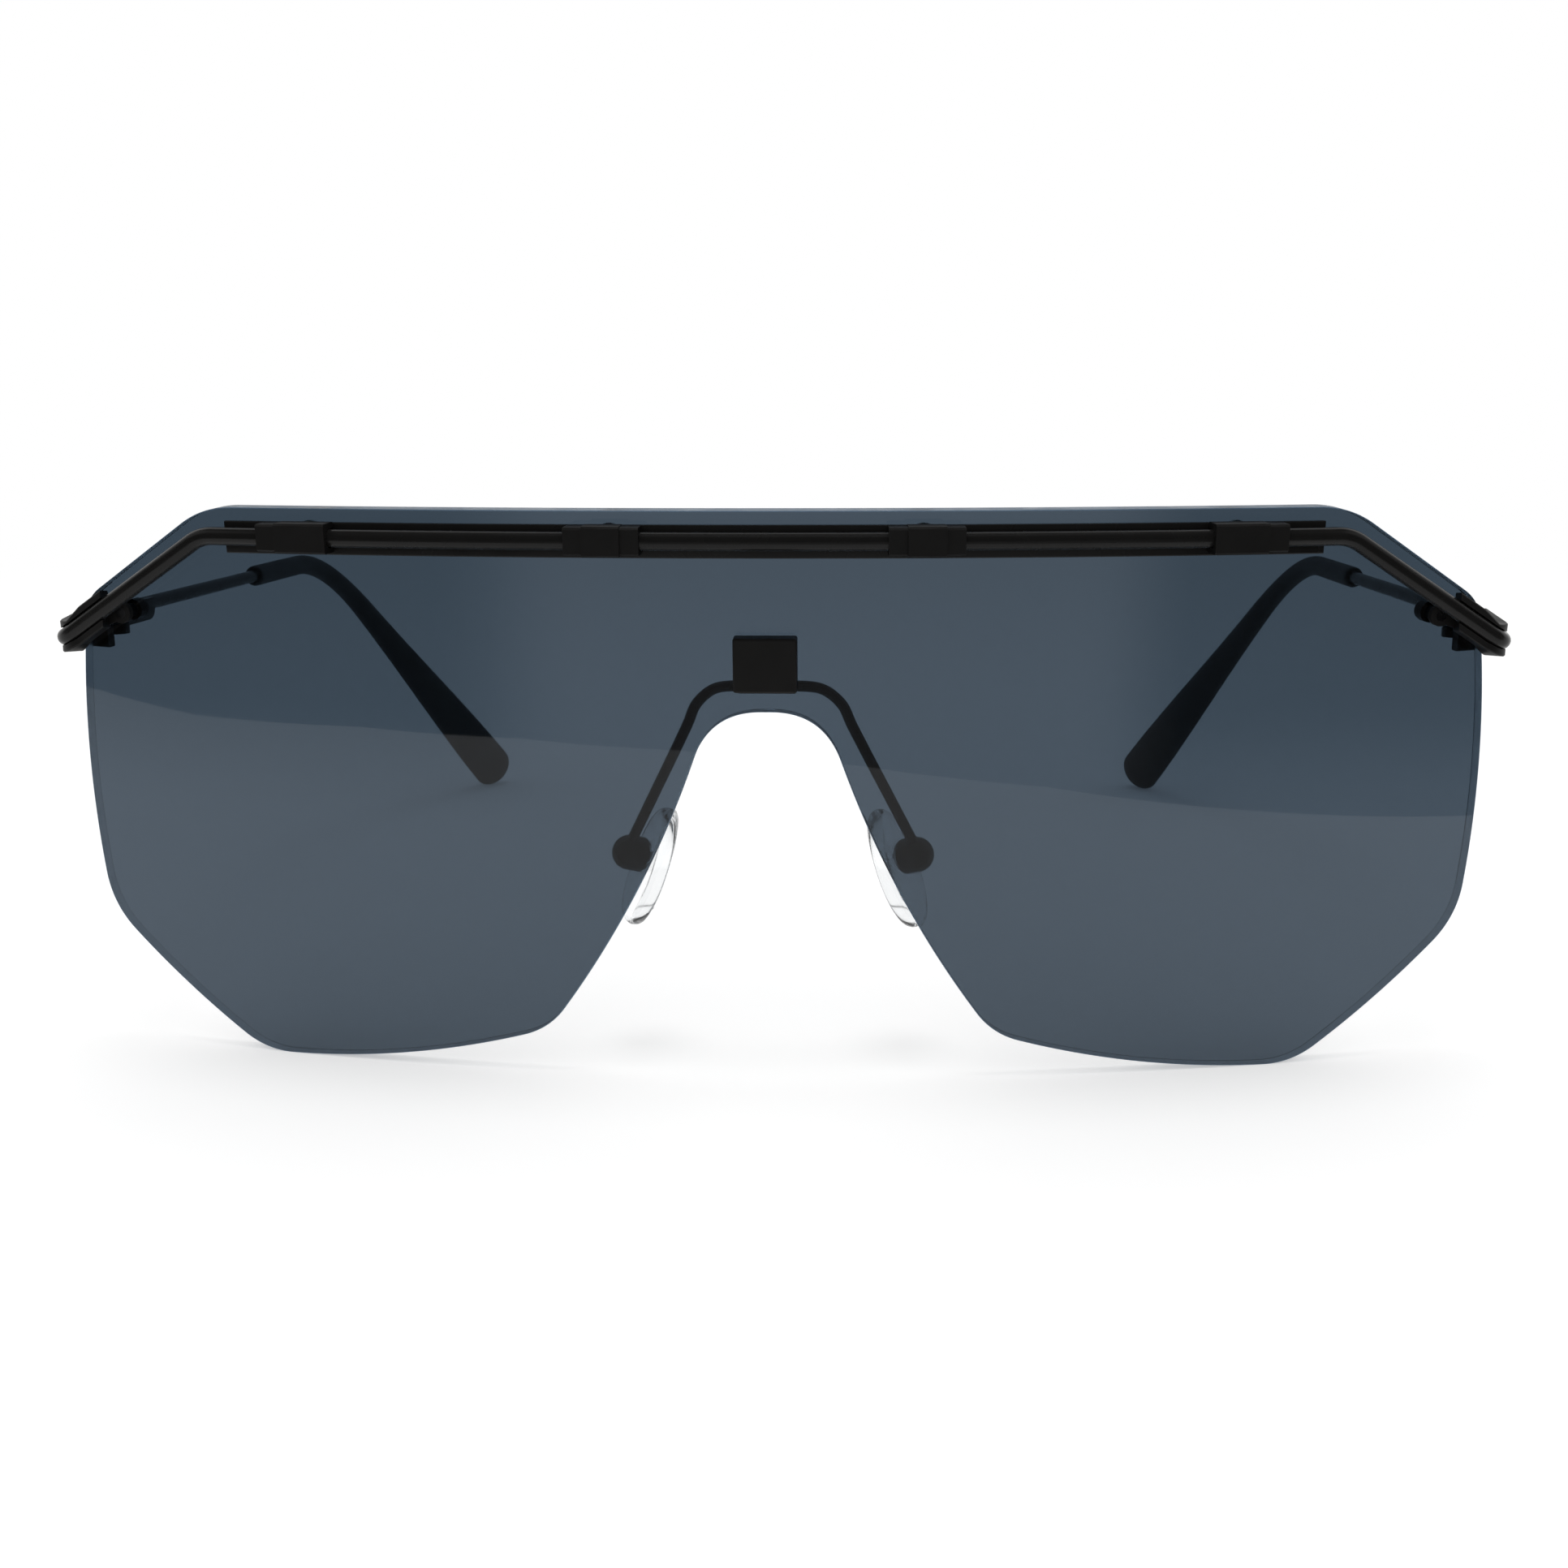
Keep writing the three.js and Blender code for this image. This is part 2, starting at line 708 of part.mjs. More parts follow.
// The arm leaves the bracket level, turns down outside the notch and ends in the wall of the cup.
function armWay() {
  const bracketMiddle = lensThickness + seat + bracketSize.y / 2;
  const bends = armBends.map(
    ([out, back, up]) => new THREE.Vector3(out, bracketMiddle + back, armHeight + up),
  );
  const intoCup = armInCup.clone().applyMatrix4(padPlace.matrix);
  return new THREE.CatmullRomCurve3([...bends, intoCup], false, "centripetal").getPoints(pieces.arm);
}

function padArm(radius) {
  return sweep(armWay(), () => circle(radius, sides.arm));
}

// An arc of [radius, height] pairs about a centre on the axis, from one angle above the level to another.
function roundProfile(radius, from, to, count) {
  return evenly(from, to, count).map((angle) => [radius * Math.cos(angle), radius * Math.sin(angle)]);
}

// Pieces about the pad's stem: made about y, with +y towards the nose, then laid along -x.
function alongStem(geometry) {
  return geometry.rotateZ(Math.PI / 2);
}

const padBack = cupMouth + padGap;

function padCup() {
  const domeBack = cupMouth - cupDepth;
  const lipHeight = Math.sqrt(socketRadius ** 2 - mouthRadius ** 2);
  const dome = evenly(0, Math.PI / 2, pieces.dome).map((angle) => [
    cupRadius * Math.sin(angle),
    domeBack + (cupDepth - cupRim) * (1 - Math.cos(angle)),
  ]);
  const profile = [
    ...dome,
    [cupRadius, cupMouth],
    [mouthRadius, cupMouth],
    ...roundProfile(socketRadius, Math.asin(lipHeight / socketRadius), -Math.PI / 2, pieces.socket),
  ];
  profile[0][0] = 0;
  profile.at(-1)[0] = 0;
  const cup = alongStem(turned(profile, sides.cup)).applyMatrix4(padPlace.matrix);
  return cut(cup, padArm(armRadius + seat));
}

function padStem() {
  const neckHeight = Math.asin(Math.sqrt(ballRadius ** 2 - neckRadius ** 2) / ballRadius);
  const profile = [
    ...roundProfile(ballRadius, -Math.PI / 2, neckHeight, pieces.ball),
    [neckRadius, padBack],
    [flangeRadius, padBack],
    [flangeRadius, padBack + flangeThickness],
    [0, padBack + flangeThickness],
  ];
  profile[0][0] = 0;
  return alongStem(turned(profile, sides.ball));
}

// An egg-shaped pad with round edges, and a recess in its back for the flange of the stem.
function nosePad() {
  const halfLong = padLength / 2 - padRounding;
  const halfWide = padWidth / 2 - padRounding;
  const outline = evenly(0, 2 * Math.PI, sides.pad)
    .slice(1)
    .map((turn) => {
      const end = Math.cos(turn) > 0 ? halfLong - padWidest : halfLong + padWidest;
      return new THREE.Vector2(padWidest + end * Math.cos(turn), halfWide * Math.sin(turn));
    });
  const pad = new THREE.ExtrudeGeometry(new THREE.Shape(outline), {
    depth: padThickness - 2 * padRounding,
    bevelThickness: padRounding,
    bevelSize: padRounding,
    bevelSegments: pieces.padEdge,
  });
  pad.rotateY(-Math.PI / 2).translate(-padBack - padRounding, 0, -padDrop);
  const recess = flangeThickness + seat;
  const hollow = new THREE.CylinderGeometry(flangeRadius + seat, flangeRadius + seat, 2 * recess, sides.ball);
  return cut(pad, alongStem(hollow.translate(0, padBack, 0)));
}

function bridgeBlock() {
  const face = new THREE.Shape();
  const x = blockSize.x / 2 - blockBevel;
  const z = blockSize.z / 2 - blockBevel;
  face.moveTo(-x, -z);
  face.lineTo(x, -z);
  face.lineTo(x, z);
  face.lineTo(-x, z);
  const block = new THREE.ExtrudeGeometry(face, {
    depth: blockSize.y - blockBevel,
    bevelThickness: blockBevel,
    bevelSize: blockBevel,
    bevelSegments: 1,
  });
  // Squared off at the back, where it meets the lens.
  block.rotateX(Math.PI / 2).translate(0, -seat, blockHeight);
  const behind = box(
    new THREE.Vector3(-blockSize.x, -seat, blockHeight - blockSize.z),
    new THREE.Vector3(blockSize.x, blockSize.y, blockHeight + blockSize.z),
  );
  const depth = bridgeScrew.reach + boreGap;
  const holes = both.map((sign) =>
    lensHole(sign * bridgeScrew.x, bridgeScrew.z, screwRadius + boreGap, depth),
  );
  return cut(block, behind, ...holes);
}

function bridgeBracket(holes) {
  const front = lensThickness + seat;
  const bracket = box(
    new THREE.Vector3(-bracketSize.x / 2, front, bracketBottom),
    new THREE.Vector3(bracketSize.x / 2, front + bracketSize.y, bracketBottom + bracketSize.z),
  );
  const arm = padArm(armRadius + seat);
  const otherArm = sweep(mirrored(armWay()), () => circle(armRadius + seat, sides.arm));
  return cut(bracket, arm, otherArm, ...holes);
}

// Assembly

const throughLens = (x, z) => both.map((sign) => lensHole(sign * x, z, screwRadius + boreGap));
const browHoles = Object.values(collars).flatMap(({ x }) => throughLens(x, browLine(x)));
const bridgeHoles = throughLens(bridgeScrew.x, bridgeScrew.z);
const clampHoles = throughLens(clampScrew.x, clampScrew.z);
const washerFront = lensThickness + seat;
const browScrewHead = washerFront + washerThickness + seat;
const bridgeScrewHead = lensThickness + seat + bracketSize.y + seat;
const clampScrewHead = lensThickness + seat + clampThickness + seat;

const sunglasses = new THREE.Group();
const front = new THREE.Group();
front.rotation.x = lensTilt;
sunglasses.add(front);
front.add(
  piece("shield_lens", lensGeometry([...browHoles, ...bridgeHoles, ...clampHoles]), smokeLens),
  piece("brow_plate", browPlate(browHoles), blackMetal),
  piece("brow_wire", browWire(), blackMetal),
  piece("bridge_block", bridgeBlock(), blackMetal),
  piece("bridge_bracket", bridgeBracket(bridgeHoles), blackMetal),
);

function addBrowFixings(half, side) {
  for (const [place, { x, steps }] of Object.entries(collars)) {
    const tip = -seat - plateThickness;
    const bolt = screw(tip, browScrewHead, screwRadius, screwHead.radius, screwHead.height);
    half.add(
      piece(`brow_collar_${place}_${side}`, collar(x, ...steps), blackMetal),
      standOnLens(piece(`brow_screw_${place}_${side}`, bolt, darkSteel), x, browLine(x)),
      standOnLens(piece(`brow_washer_${place}_${side}`, washer(washerFront), whiteNylon), x, browLine(x)),
    );
  }
}

function addNoseParts(half, side) {
  const bolt = screw(-bridgeScrew.reach, bridgeScrewHead, screwRadius, screwHead.radius, screwHead.height);
  half.add(
    standOnLens(piece(`bridge_screw_${side}`, bolt, darkSteel), bridgeScrew.x, bridgeScrew.z),
    piece(`pad_arm_${side}`, padArm(armRadius), blackMetal),
    piece(`pad_cup_${side}`, padCup(), blackMetal),
  );
  const pad = new THREE.Group();
  pad.position.copy(padPlace.position);
  pad.rotation.copy(padPlace.rotation);
  pad.add(
    piece(`pad_stem_${side}`, padStem(), clearSilicone),
    piece(`nose_pad_${side}`, nosePad(), clearSilicone),
  );
  half.add(pad);
}

function addTemple(half, side) {
  const tip = -seat - plateThickness;
  const bolt = screw(tip, clampScrewHead, screwRadius, clampScrew.head, clampScrew.headHeight);
  half.add(
    piece(`endpiece_${side}`, endpiece(), blackMetal),
    piece(`lens_clamp_${side}`, lensClamp(), blackMetal),
    standOnLens(piece(`lens_clamp_screw_${side}`, bolt, darkSteel), clampScrew.x, clampScrew.z),
  );
  const hinge = new THREE.Group();
  hinge.position.set(tailInside - leafInside, hingeBack, tailHeight);
  hinge.rotation.x = -templeFall - lensTilt;
  hinge.add(
    piece(`hinge_bracket_${side}`, hingeBracket(), blackMetal),
    piece(`hinge_screw_${side}`, hingeScrew(), darkSteel),
  );
  const temple = new THREE.Group();
  temple.rotation.z = templeLean;
  temple.add(
    piece(`temple_knuckle_${side}`, templeKnuckle(), blackMetal),
    piece(`temple_leaf_${side}`, templeLeaf(), blackMetal),
    piece(`temple_wire_${side}`, templeWire(), blackMetal),
    piece(`temple_tip_${side}`, templeTip(), blackTip),
  );
  hinge.add(temple);
  half.add(hinge);
}

for (const [side, sign] of [["left", -1], ["right", 1]]) {
  const half = new THREE.Group();
  half.scale.x = sign;
  addBrowFixings(half, side);
  addNoseParts(half, side);
  addTemple(half, side);
  front.add(half);
}

// The origin is the middle of the footprint, at the height of the table.
const reach = new THREE.Box3().setFromObject(sunglasses, true);
front.position.set(0, -(reach.min.y + reach.max.y) / 2, -reach.min.z);

export default sunglasses;
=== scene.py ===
import json
import math

import bmesh
import bpy
from mathutils import Matrix, Vector
from mathutils.geometry import delaunay_2d_cdt


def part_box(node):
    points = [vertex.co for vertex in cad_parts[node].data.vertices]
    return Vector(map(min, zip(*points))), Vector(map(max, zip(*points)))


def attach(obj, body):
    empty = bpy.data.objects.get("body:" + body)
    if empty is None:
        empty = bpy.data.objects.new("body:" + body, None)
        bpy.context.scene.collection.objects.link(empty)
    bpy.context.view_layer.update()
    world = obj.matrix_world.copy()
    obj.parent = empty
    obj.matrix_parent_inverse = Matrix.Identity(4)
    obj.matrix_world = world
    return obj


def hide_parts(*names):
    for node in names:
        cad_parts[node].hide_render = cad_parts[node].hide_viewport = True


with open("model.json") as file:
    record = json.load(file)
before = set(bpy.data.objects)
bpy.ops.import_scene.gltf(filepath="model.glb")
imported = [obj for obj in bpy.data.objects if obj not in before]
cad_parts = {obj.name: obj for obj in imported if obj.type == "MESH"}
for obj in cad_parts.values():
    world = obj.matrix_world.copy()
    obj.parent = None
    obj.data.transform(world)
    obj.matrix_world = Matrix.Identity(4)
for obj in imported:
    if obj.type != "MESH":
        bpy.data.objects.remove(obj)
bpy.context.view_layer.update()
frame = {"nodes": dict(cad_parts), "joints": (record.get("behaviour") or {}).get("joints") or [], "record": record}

mm = 0.001
upright = Vector((0, 0, 1))
sideSigns = {"left": -1, "right": 1}
joints = {joint["name"]: joint for joint in frame["joints"]}
print("frame loaded with", len(frame["nodes"]), "nodes")


# Node trees: an input takes a constant, a socket, or a node, which gives its first output.

def setInputs(tree, node, values):
    for label, value in values.items():
        if isinstance(value, bpy.types.Node):
            value = value.outputs[0]
        if isinstance(value, bpy.types.NodeSocket):
            tree.links.new(value, node.inputs[label])
        else:
            node.inputs[label].default_value = value


def addNode(tree, kind, values, **settings):
    node = tree.nodes.new(kind)
    for key, value in settings.items():
        setattr(node, key, value)
    setInputs(tree, node, values)
    return node


def addMath(tree, operation, *values):
    return addNode(tree, "ShaderNodeMath", dict(enumerate(values)), operation=operation)


def addRange(tree, value, low, high, **settings):
    values = {"Value": value, "From Min": low, "From Max": high}
    return addNode(tree, "ShaderNodeMapRange", values, **settings)


def addNoise(tree, place, scale, detail, roughness, distortion=0.0):
    waves = {"Scale": scale, "Detail": detail, "Roughness": roughness, "Distortion": distortion}
    return addNode(tree, "ShaderNodeTexNoise", {"Vector": place, **waves})


def objectPlace(tree):
    return addNode(tree, "ShaderNodeTexCoord", {}).outputs["Object"]


def newTree(name, kind, inputs, outputs):
    tree = bpy.data.node_groups.new(name, kind)
    kinds = {float: "Float", int: "Int", tuple: "Vector"}
    for label, default in inputs.items():  # a word names the kind of socket
        socketKind = kinds.get(type(default), default)
        socket = tree.interface.new_socket(label, in_out="INPUT", socket_type="NodeSocket" + socketKind)
        if socketKind != default:
            socket.default_value = default
    made = "NodeSocketFloat" if kind == "ShaderNodeTree" else "NodeSocketGeometry"
    for label in outputs.split():
        tree.interface.new_socket(label, in_out="OUTPUT", socket_type=made)
    return tree, tree.nodes.new("NodeGroupInput").outputs, tree.nodes.new("NodeGroupOutput")


# Shader groups shared by the finishes. Scales are in waves per metre of Object coordinates.

groupShape = {
    "mottle": 0.06,  # its scale as a share of the grain's
    "patches": 900.0,
    "patchLimits": (0.42, 0.62),
    "smearLimits": (0.3, 0.7),
}


def fineGrainGroup():
    tree, given, result = newTree(
        "fineGrain", "ShaderNodeTree", {"Scale": 5000.0, "Stretch": (1.0, 1.0, 1.0)}, "Height Mottle"
    )
    place, scale = objectPlace(tree), given["Scale"]
    stretched = addNode(tree, "ShaderNodeVectorMath", {0: place, 1: given["Stretch"]}, operation="MULTIPLY")
    grain = addNoise(tree, stretched, scale, detail=4.0, roughness=0.6)
    coarse = addMath(tree, "MULTIPLY", scale, groupShape["mottle"])
    mottle = addNoise(tree, place, coarse, detail=3.0, roughness=0.5)
    setInputs(tree, result, {"Height": grain, "Mottle": mottle})
    return tree


def rubbedEdgeGroup():
    tree, given, result = newTree(
        "rubbedEdge", "ShaderNodeTree", {"Reach": 0.00008, "Start": 0.02, "Full": 0.2}, "Wear"
    )
    normal = addNode(tree, "ShaderNodeNewGeometry", {}).outputs["Normal"]
    eased = addNode(tree, "ShaderNodeBevel", {"Radius": given["Reach"]}, samples=6)
    turn = addNode(tree, "ShaderNodeVectorMath", {0: normal, 1: eased}, operation="DOT_PRODUCT")
    corner = addMath(tree, "SUBTRACT", 1.0, turn.outputs["Value"])  # 0 away from edges
    edge = addRange(tree, corner, given["Start"], given["Full"])
    patches = addNoise(tree, objectPlace(tree), groupShape["patches"], detail=5.0, roughness=0.65)
    broken = addRange(tree, patches, *groupShape["patchLimits"])
    setInputs(tree, result, {"Wear": addMath(tree, "MULTIPLY", edge, broken)})
    return tree


def handlingGroup():
    tree, given, result = newTree(
        "handling", "ShaderNodeTree", {"Scale": 60.0, "Low": 0.0, "High": 1.0}, "Roughness"
    )
    smears = addNoise(tree, objectPlace(tree), given["Scale"], detail=3.0, roughness=0.55, distortion=0.8)
    spread = addRange(tree, smears, *groupShape["smearLimits"])
    setInputs(tree, spread, {"To Min": given["Low"], "To Max": given["High"]})
    setInputs(tree, result, {"Roughness": spread})
    return tree


groups = {"grain": fineGrainGroup(), "edge": rubbedEdgeGroup(), "handling": handlingGroup()}


def addGroup(tree, group, **values):
    return addNode(tree, "ShaderNodeGroup", values, node_tree=groups[group])


def mixColours(tree, share, low, high):
    mix = addNode(tree, "ShaderNodeMix", {"Factor": share}, data_type="RGBA")
    for socket, value in ((6, low), (7, high)):  # the colours among the node's inputs
        setInputs(tree, mix, {socket: (*value, 1.0) if isinstance(value, tuple) else value})
    return mix.outputs[2]


# Finishes: colours mixed by the grain's mottle, a worn colour on edges, a bump of (distance, strength)

satinPaint = {
    "slot": "black_metal",
    "sockets": {"Specular IOR Level": 0.17},
    "colours": [(0.0058, 0.0056, 0.0055), (0.0084, 0.0081, 0.0078)],
    "worn": (0.030, 0.029, 0.028),
    "wornReach": 0.00008,
    "grain": 7000.0,
    "handling": 220.0,
    "roughness": (0.20, 0.30),
    "bump": (0.000005, 0.5),
}
tintedGlass = {"IOR": 1.33, "Transmission Weight": 1.0}  # half the gloss of bare glass, as with a coating
looks = {
    "smokeLens": {
        "slot": "lens",
        "sockets": tintedGlass,
        # The second colour, on the upper corners, is a painted darker reflection laid into the tint.
        "colours": [(0.0550, 0.0765, 0.1015), (0.0405, 0.0595, 0.081)],  # most of the lens, its upper corners
        "corners": {"left": (-0.020, -0.034), "right": (0.030, 0.042), "height": (0.026, 0.040)},  # metres
        "uneven": 0.12,  # share of the mottle in the tint
        "grain": 400.0,
        "handling": 45.0,
        "roughness": (0.012, 0.03),
    },
    "groundEdge": {
        "slot": "lens",
        "sockets": tintedGlass,
        "colours": [(0.10, 0.165, 0.25), (0.13, 0.21, 0.31)],
        "grain": 5200.0,
        "handling": 300.0,
        "roughness": (0.34, 0.48),
    },
    "satinBlack": satinPaint,
    "matteBlack": {
        **satinPaint,
        "sockets": {"Specular IOR Level": 0.12},
        "worn": (0.020, 0.019, 0.018),
        "roughness": (0.42, 0.52),
    },
    "mouldedTip": {
        "slot": "black_tip",
        "sockets": {"Specular IOR Level": 0.42},
        "colours": [(0.0045, 0.0048, 0.0052), (0.0085, 0.0088, 0.0092)],
        "grain": 3200.0,
        "handling": 120.0,
        "roughness": (0.42, 0.58),
        "bump": (0.00001, 0.6),
    },
    "screwSteel": {
        "slot": "dark_steel",
        "sockets": {"Metallic": 1.0},
        "colours": [(0.035, 0.035, 0.037)],
        "worn": (0.16, 0.16, 0.165),
        "wornReach": 0.00005,
        "grain": 4500.0,
        "stretch": (1.0, 0.2, 1.0),
        "handling": 500.0,
        "roughness": (0.24, 0.4),
        "bump": (0.000005, 0.4),
    },
    "clearSilicone": {
        "slot": "clear_silicone",
        "sockets": {"IOR": 1.41, "Transmission Weight": 1.0},
        "colours": [(0.97, 0.98, 0.985), (0.91, 0.93, 0.94)],
        "grain": 1800.0,
        "handling": 260.0,
        "roughness": (0.04, 0.12),
        "bump": (0.00001, 0.3),
    },
    "whiteNylon": {
        "slot": "white_nylon",
        "sockets": {"Subsurface Weight": 0.1, "Subsurface Scale": 0.0004},
        "colours": [(0.66, 0.66, 0.63), (0.74, 0.74, 0.72)],
        "grain": 2600.0,
        "handling": 400.0,
        "roughness": (0.38, 0.55),
        "bump": (0.000008, 0.4),
    },
}


# Mixes the real mottle with the upper corners' darker tint, which is a painted darker reflection.
def mottleAndPaintedCorners(tree, mottle, look):
    parts = addNode(tree, "ShaderNodeSeparateXYZ", {0: objectPlace(tree)})

    def grows(axis, limits):
        return addRange(tree, parts.outputs[axis], *limits, interpolation_type="SMOOTHSTEP")

    corners, uneven = look["corners"], look["uneven"]
    sideways = addMath(tree, "MAXIMUM", grows("X", corners["left"]), grows("X", corners["right"]))
    corner = addMath(tree, "MULTIPLY", sideways, grows("Z", corners["height"]))
    return addMath(tree, "MULTIPLY_ADD", mottle, uneven, addMath(tree, "SUBTRACT", corner, uneven / 2))


def buildFinish(name, look):
    material = bpy.data.materials.new(name)
    material.use_nodes = True
    tree = material.node_tree
    shader = tree.nodes["Principled BSDF"]
    grain = addGroup(tree, "grain", Scale=look["grain"], Stretch=look.get("stretch", (1.0, 1.0, 1.0)))
    low, high = look["roughness"]
    handled = addGroup(tree, "handling", Scale=look["handling"], Low=low, High=high)
    share, colour = grain.outputs["Mottle"], look["colours"][0]
    # the lens's upper corners take a painted darker reflection in their colour
    if "corners" in look:
        share = mottleAndPaintedCorners(tree, share, look)
    if len(look["colours"]) > 1:
        colour = mixColours(tree, share, *look["colours"])
    if "worn" in look:
        colour = mixColours(tree, addGroup(tree, "edge", Reach=look["wornReach"]), colour, look["worn"])
    setInputs(tree, shader, {**look["sockets"], "Base Color": colour, "Roughness": handled})
    if "bump" in look:
        distance, strength = look["bump"]
        bump = addNode(tree, "ShaderNodeBump", {"Strength": strength, "Distance": distance, "Height": grain})
        setInputs(tree, shader, {"Normal": bump})
    return material


finishes = {name: buildFinish(name, look) for name, look in looks.items()}
print("finishes ready:", len(finishes))


# Meshes: local sizes are millimetres, and a place matrix carries them to metres in the frame.

meshCare = {
    "merge": 0.0005 * mm,
    "flat": math.radians(1.5),  # below this the facets of a CAD copy are joined
    "sharp": math.radians(40),
    "brokenAngle": math.radians(32),
    "brokenParts": 3,
    "bendParts": 14,
}


def spaced(start, stop, parts):
    return [start + (stop - start) * k / parts for k in range(parts + 1)]


def fullTurn(count):
    return [2 * math.pi * i / count for i in range(count)]


def quadsBetween(first, second):
    ahead = [*range(1, len(first)), 0]
    return [(first[i], first[j], second[j], second[i]) for i, j in enumerate(ahead)]


def loftRings(rings):
    count = len(rings[0])
    points = [point for ring in rings for point in ring]
    rows = [list(range(start, start + count)) for start in range(0, len(points), count)]
    faces = [face for first, second in zip(rows, rows[1:]) for face in quadsBetween(first, second)]
    return points, faces + [tuple(reversed(rows[0])), tuple(rows[-1])]


def pathFrame(path, i):
    along = (path[min(i + 1, len(path) - 1)] - path[max(i - 1, 0)]).normalized()
    out = along.cross(upright).normalized()  # level, to the right of the way the path goes
    return along, out, out.cross(along)


def placeSection(centre, out, across, section):
    return [centre + across * up + out * away for up, away in section]


def sweepSections(path, sections):
    frames = [pathFrame(path, i)[1:] for i in range(len(path))]
    return loftRings([placeSection(*placed) for placed in zip(path, *zip(*frames), sections)])


def turnProfile(profile, count):  # about the y axis, from (radius, height) pairs
    turns = fullTurn(count)
    return loftRings([[Vector((r * math.cos(t), h, r * math.sin(t))) for t in turns] for r, h in profile])


def bentLine(corners, step):
    start = corners[0][0]  # corners are (point, rounding)
    path = [start]
    for (at, rounding), following in zip(corners[1:], corners[2:] + [None]):
        before = at + (start - at).normalized() * rounding
        parts = max(1, math.ceil((before - start).length / step))
        path += [start.lerp(before, (k + 1) / parts) for k in range(parts)]
        if following:
            after = at + (following[0] - at).normalized() * rounding
            parts = max(meshCare["bendParts"], math.ceil((after - before).length / step))
            shares = [(k + 1) / parts for k in range(parts)]
            path += [before.lerp(at, t).lerp(at.lerp(after, t), t) for t in shares]
            start = after
    return path


def settle(piece):
    bpy.context.view_layer.update()
    seen = piece.evaluated_get(bpy.context.evaluated_depsgraph_get())
    mesh, old = bpy.data.meshes.new_from_object(seen), piece.data
    piece.modifiers.clear()
    piece.data = mesh
    bpy.data.meshes.remove(old)


def closeUp(mesh, flat=None):
    work = bmesh.new()
    work.from_mesh(mesh)
    bmesh.ops.remove_doubles(work, verts=work.verts, dist=meshCare["merge"])
    bmesh.ops.dissolve_degenerate(work, edges=work.edges, dist=meshCare["merge"])
    if flat:
        bmesh.ops.dissolve_limit(work, angle_limit=flat, verts=work.verts, edges=work.edges)
    bmesh.ops.recalc_face_normals(work, faces=work.faces)
    work.to_mesh(mesh)
    work.free()


def evenShading(piece):
    piece.modifiers.new("evenShading", "WEIGHTED_NORMAL").keep_sharp = True
    piece.data.shade_smooth()
    settle(piece)


def breakEdges(piece, width):
    bevel = piece.modifiers.new("brokenEdge", "BEVEL")
    bevel.width, bevel.segments = width * mm, meshCare["brokenParts"]
    bevel.limit_method, bevel.angle_limit = "ANGLE", meshCare["brokenAngle"]
    evenShading(piece)


def newPiece(name, mesh, finish=None):
    piece = bpy.data.objects.new(name, mesh)
    bpy.context.scene.collection.objects.link(piece)
    if finish:
        mesh.materials.clear()
        mesh.materials.append(finishes[finish])
    return piece


def finishEdges(piece, edge, sharp=meshCare["sharp"]):
    if edge:
        breakEdges(piece, edge)
    else:
        piece.data.shade_smooth()
        piece.data.set_sharp_from_angle(angle=sharp)
    return piece


def fit(piece, body, finish, *nodes):
    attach(piece, body)
    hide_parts(*nodes)


def pieceName(node):
    first, *rest = node.split("_")
    return first + "".join(word.capitalize() for word in rest)


def makePiece(node, shape, place, finish, edge=None, sharp=meshCare["sharp"]):
    points, faces = shape
    mesh = bpy.data.meshes.new(pieceName(node))
    mesh.from_pydata([place @ point for point in points], [], faces)
    closeUp(mesh)
    return finishEdges(newPiece(pieceName(node), mesh, finish), edge, sharp)


def addPiece(node, body, shape, place, finish, edge=None, sharp=meshCare["sharp"]):
    fit(makePiece(node, shape, place, finish, edge, sharp), body, finish, node)


def dressCopy(node, body, edge):
    mesh = frame["nodes"][node].data.copy()
    mesh.name = pieceName(node)
    closeUp(mesh, meshCare["flat"])
    piece = newPiece(pieceName(node), mesh, "satinBlack")
    breakEdges(piece, edge)
    fit(piece, body, "satinBlack", node)


# Places: the front leans with the lens, and everything on it shares that frame.

shield = {
    "radius": 233.0,  # bend of the front face
    "thickness": 2.0,
    "tilt": math.radians(3),
    "topHeight": 58.36,
    "halfWidth": 75.0,
    "rounding": 0.1,  # polished edge
    "roundParts": 3,
    "sideStep": 1.2,  # spacing of the outline's points on sides and corners
    "cornerStep": 0.3,
    "facet": 2.2,  # spacing of mesh points on the faces
    "rowPitch": 0.866,
    "clear": 0.55,  # of the facet, kept free along the outline
    "hole": 0.7,
    "holeSides": 24,
    "sharp": math.radians(14),
    # x, z, rounding and outward bow of the next side, from the top centre to the top of the nose notch
    "corners": [
        (0.0, 58.36, 0.0, 0.13),
        (56.65, 57.83, 3.1, 0.0),
        (70.95, 47.9, 1.95, 1.31),
        (71.48, 14.4, 3.6, 0.6),
        (54.3, -0.27, 3.0, 1.25),
        (22.8, 4.75, 2.8, 1.69),
        (5.69, 38.66, 5.15, 0.0),
        (0.0, 38.66, 0.0, 0.0),
    ],
}

lensLow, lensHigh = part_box("shield_lens")
leanIn, leanUp = math.sin(shield["tilt"]), math.cos(shield["tilt"])
frontOrigin = Vector((
    0,
    lensLow.y + shield["topHeight"] * leanIn * mm,
    lensHigh.z - (shield["topHeight"] * leanUp + shield["thickness"] * leanIn) * mm,
))
toMetres = Matrix.Scale(mm, 4)
frontPlace = Matrix.Translation(frontOrigin) @ Matrix.Rotation(shield["tilt"], 4, "X") @ toMetres
mirrors = {"left": Matrix.Scale(-1, 4, Vector((1, 0, 0))), "right": Matrix.Identity(4)}


def frontSide(side):
    return frontPlace @ mirrors[side]


def onLens(x, z, out):
    turn, reach = math.asin(x / shield["radius"]), shield["radius"] + out
    return Vector((reach * math.sin(turn), shield["radius"] - reach * math.cos(turn), z))


def squareToLens(x):
    turn = math.asin(x / shield["radius"])
    return Vector((-math.sin(turn), math.cos(turn), 0))  # towards the wearer


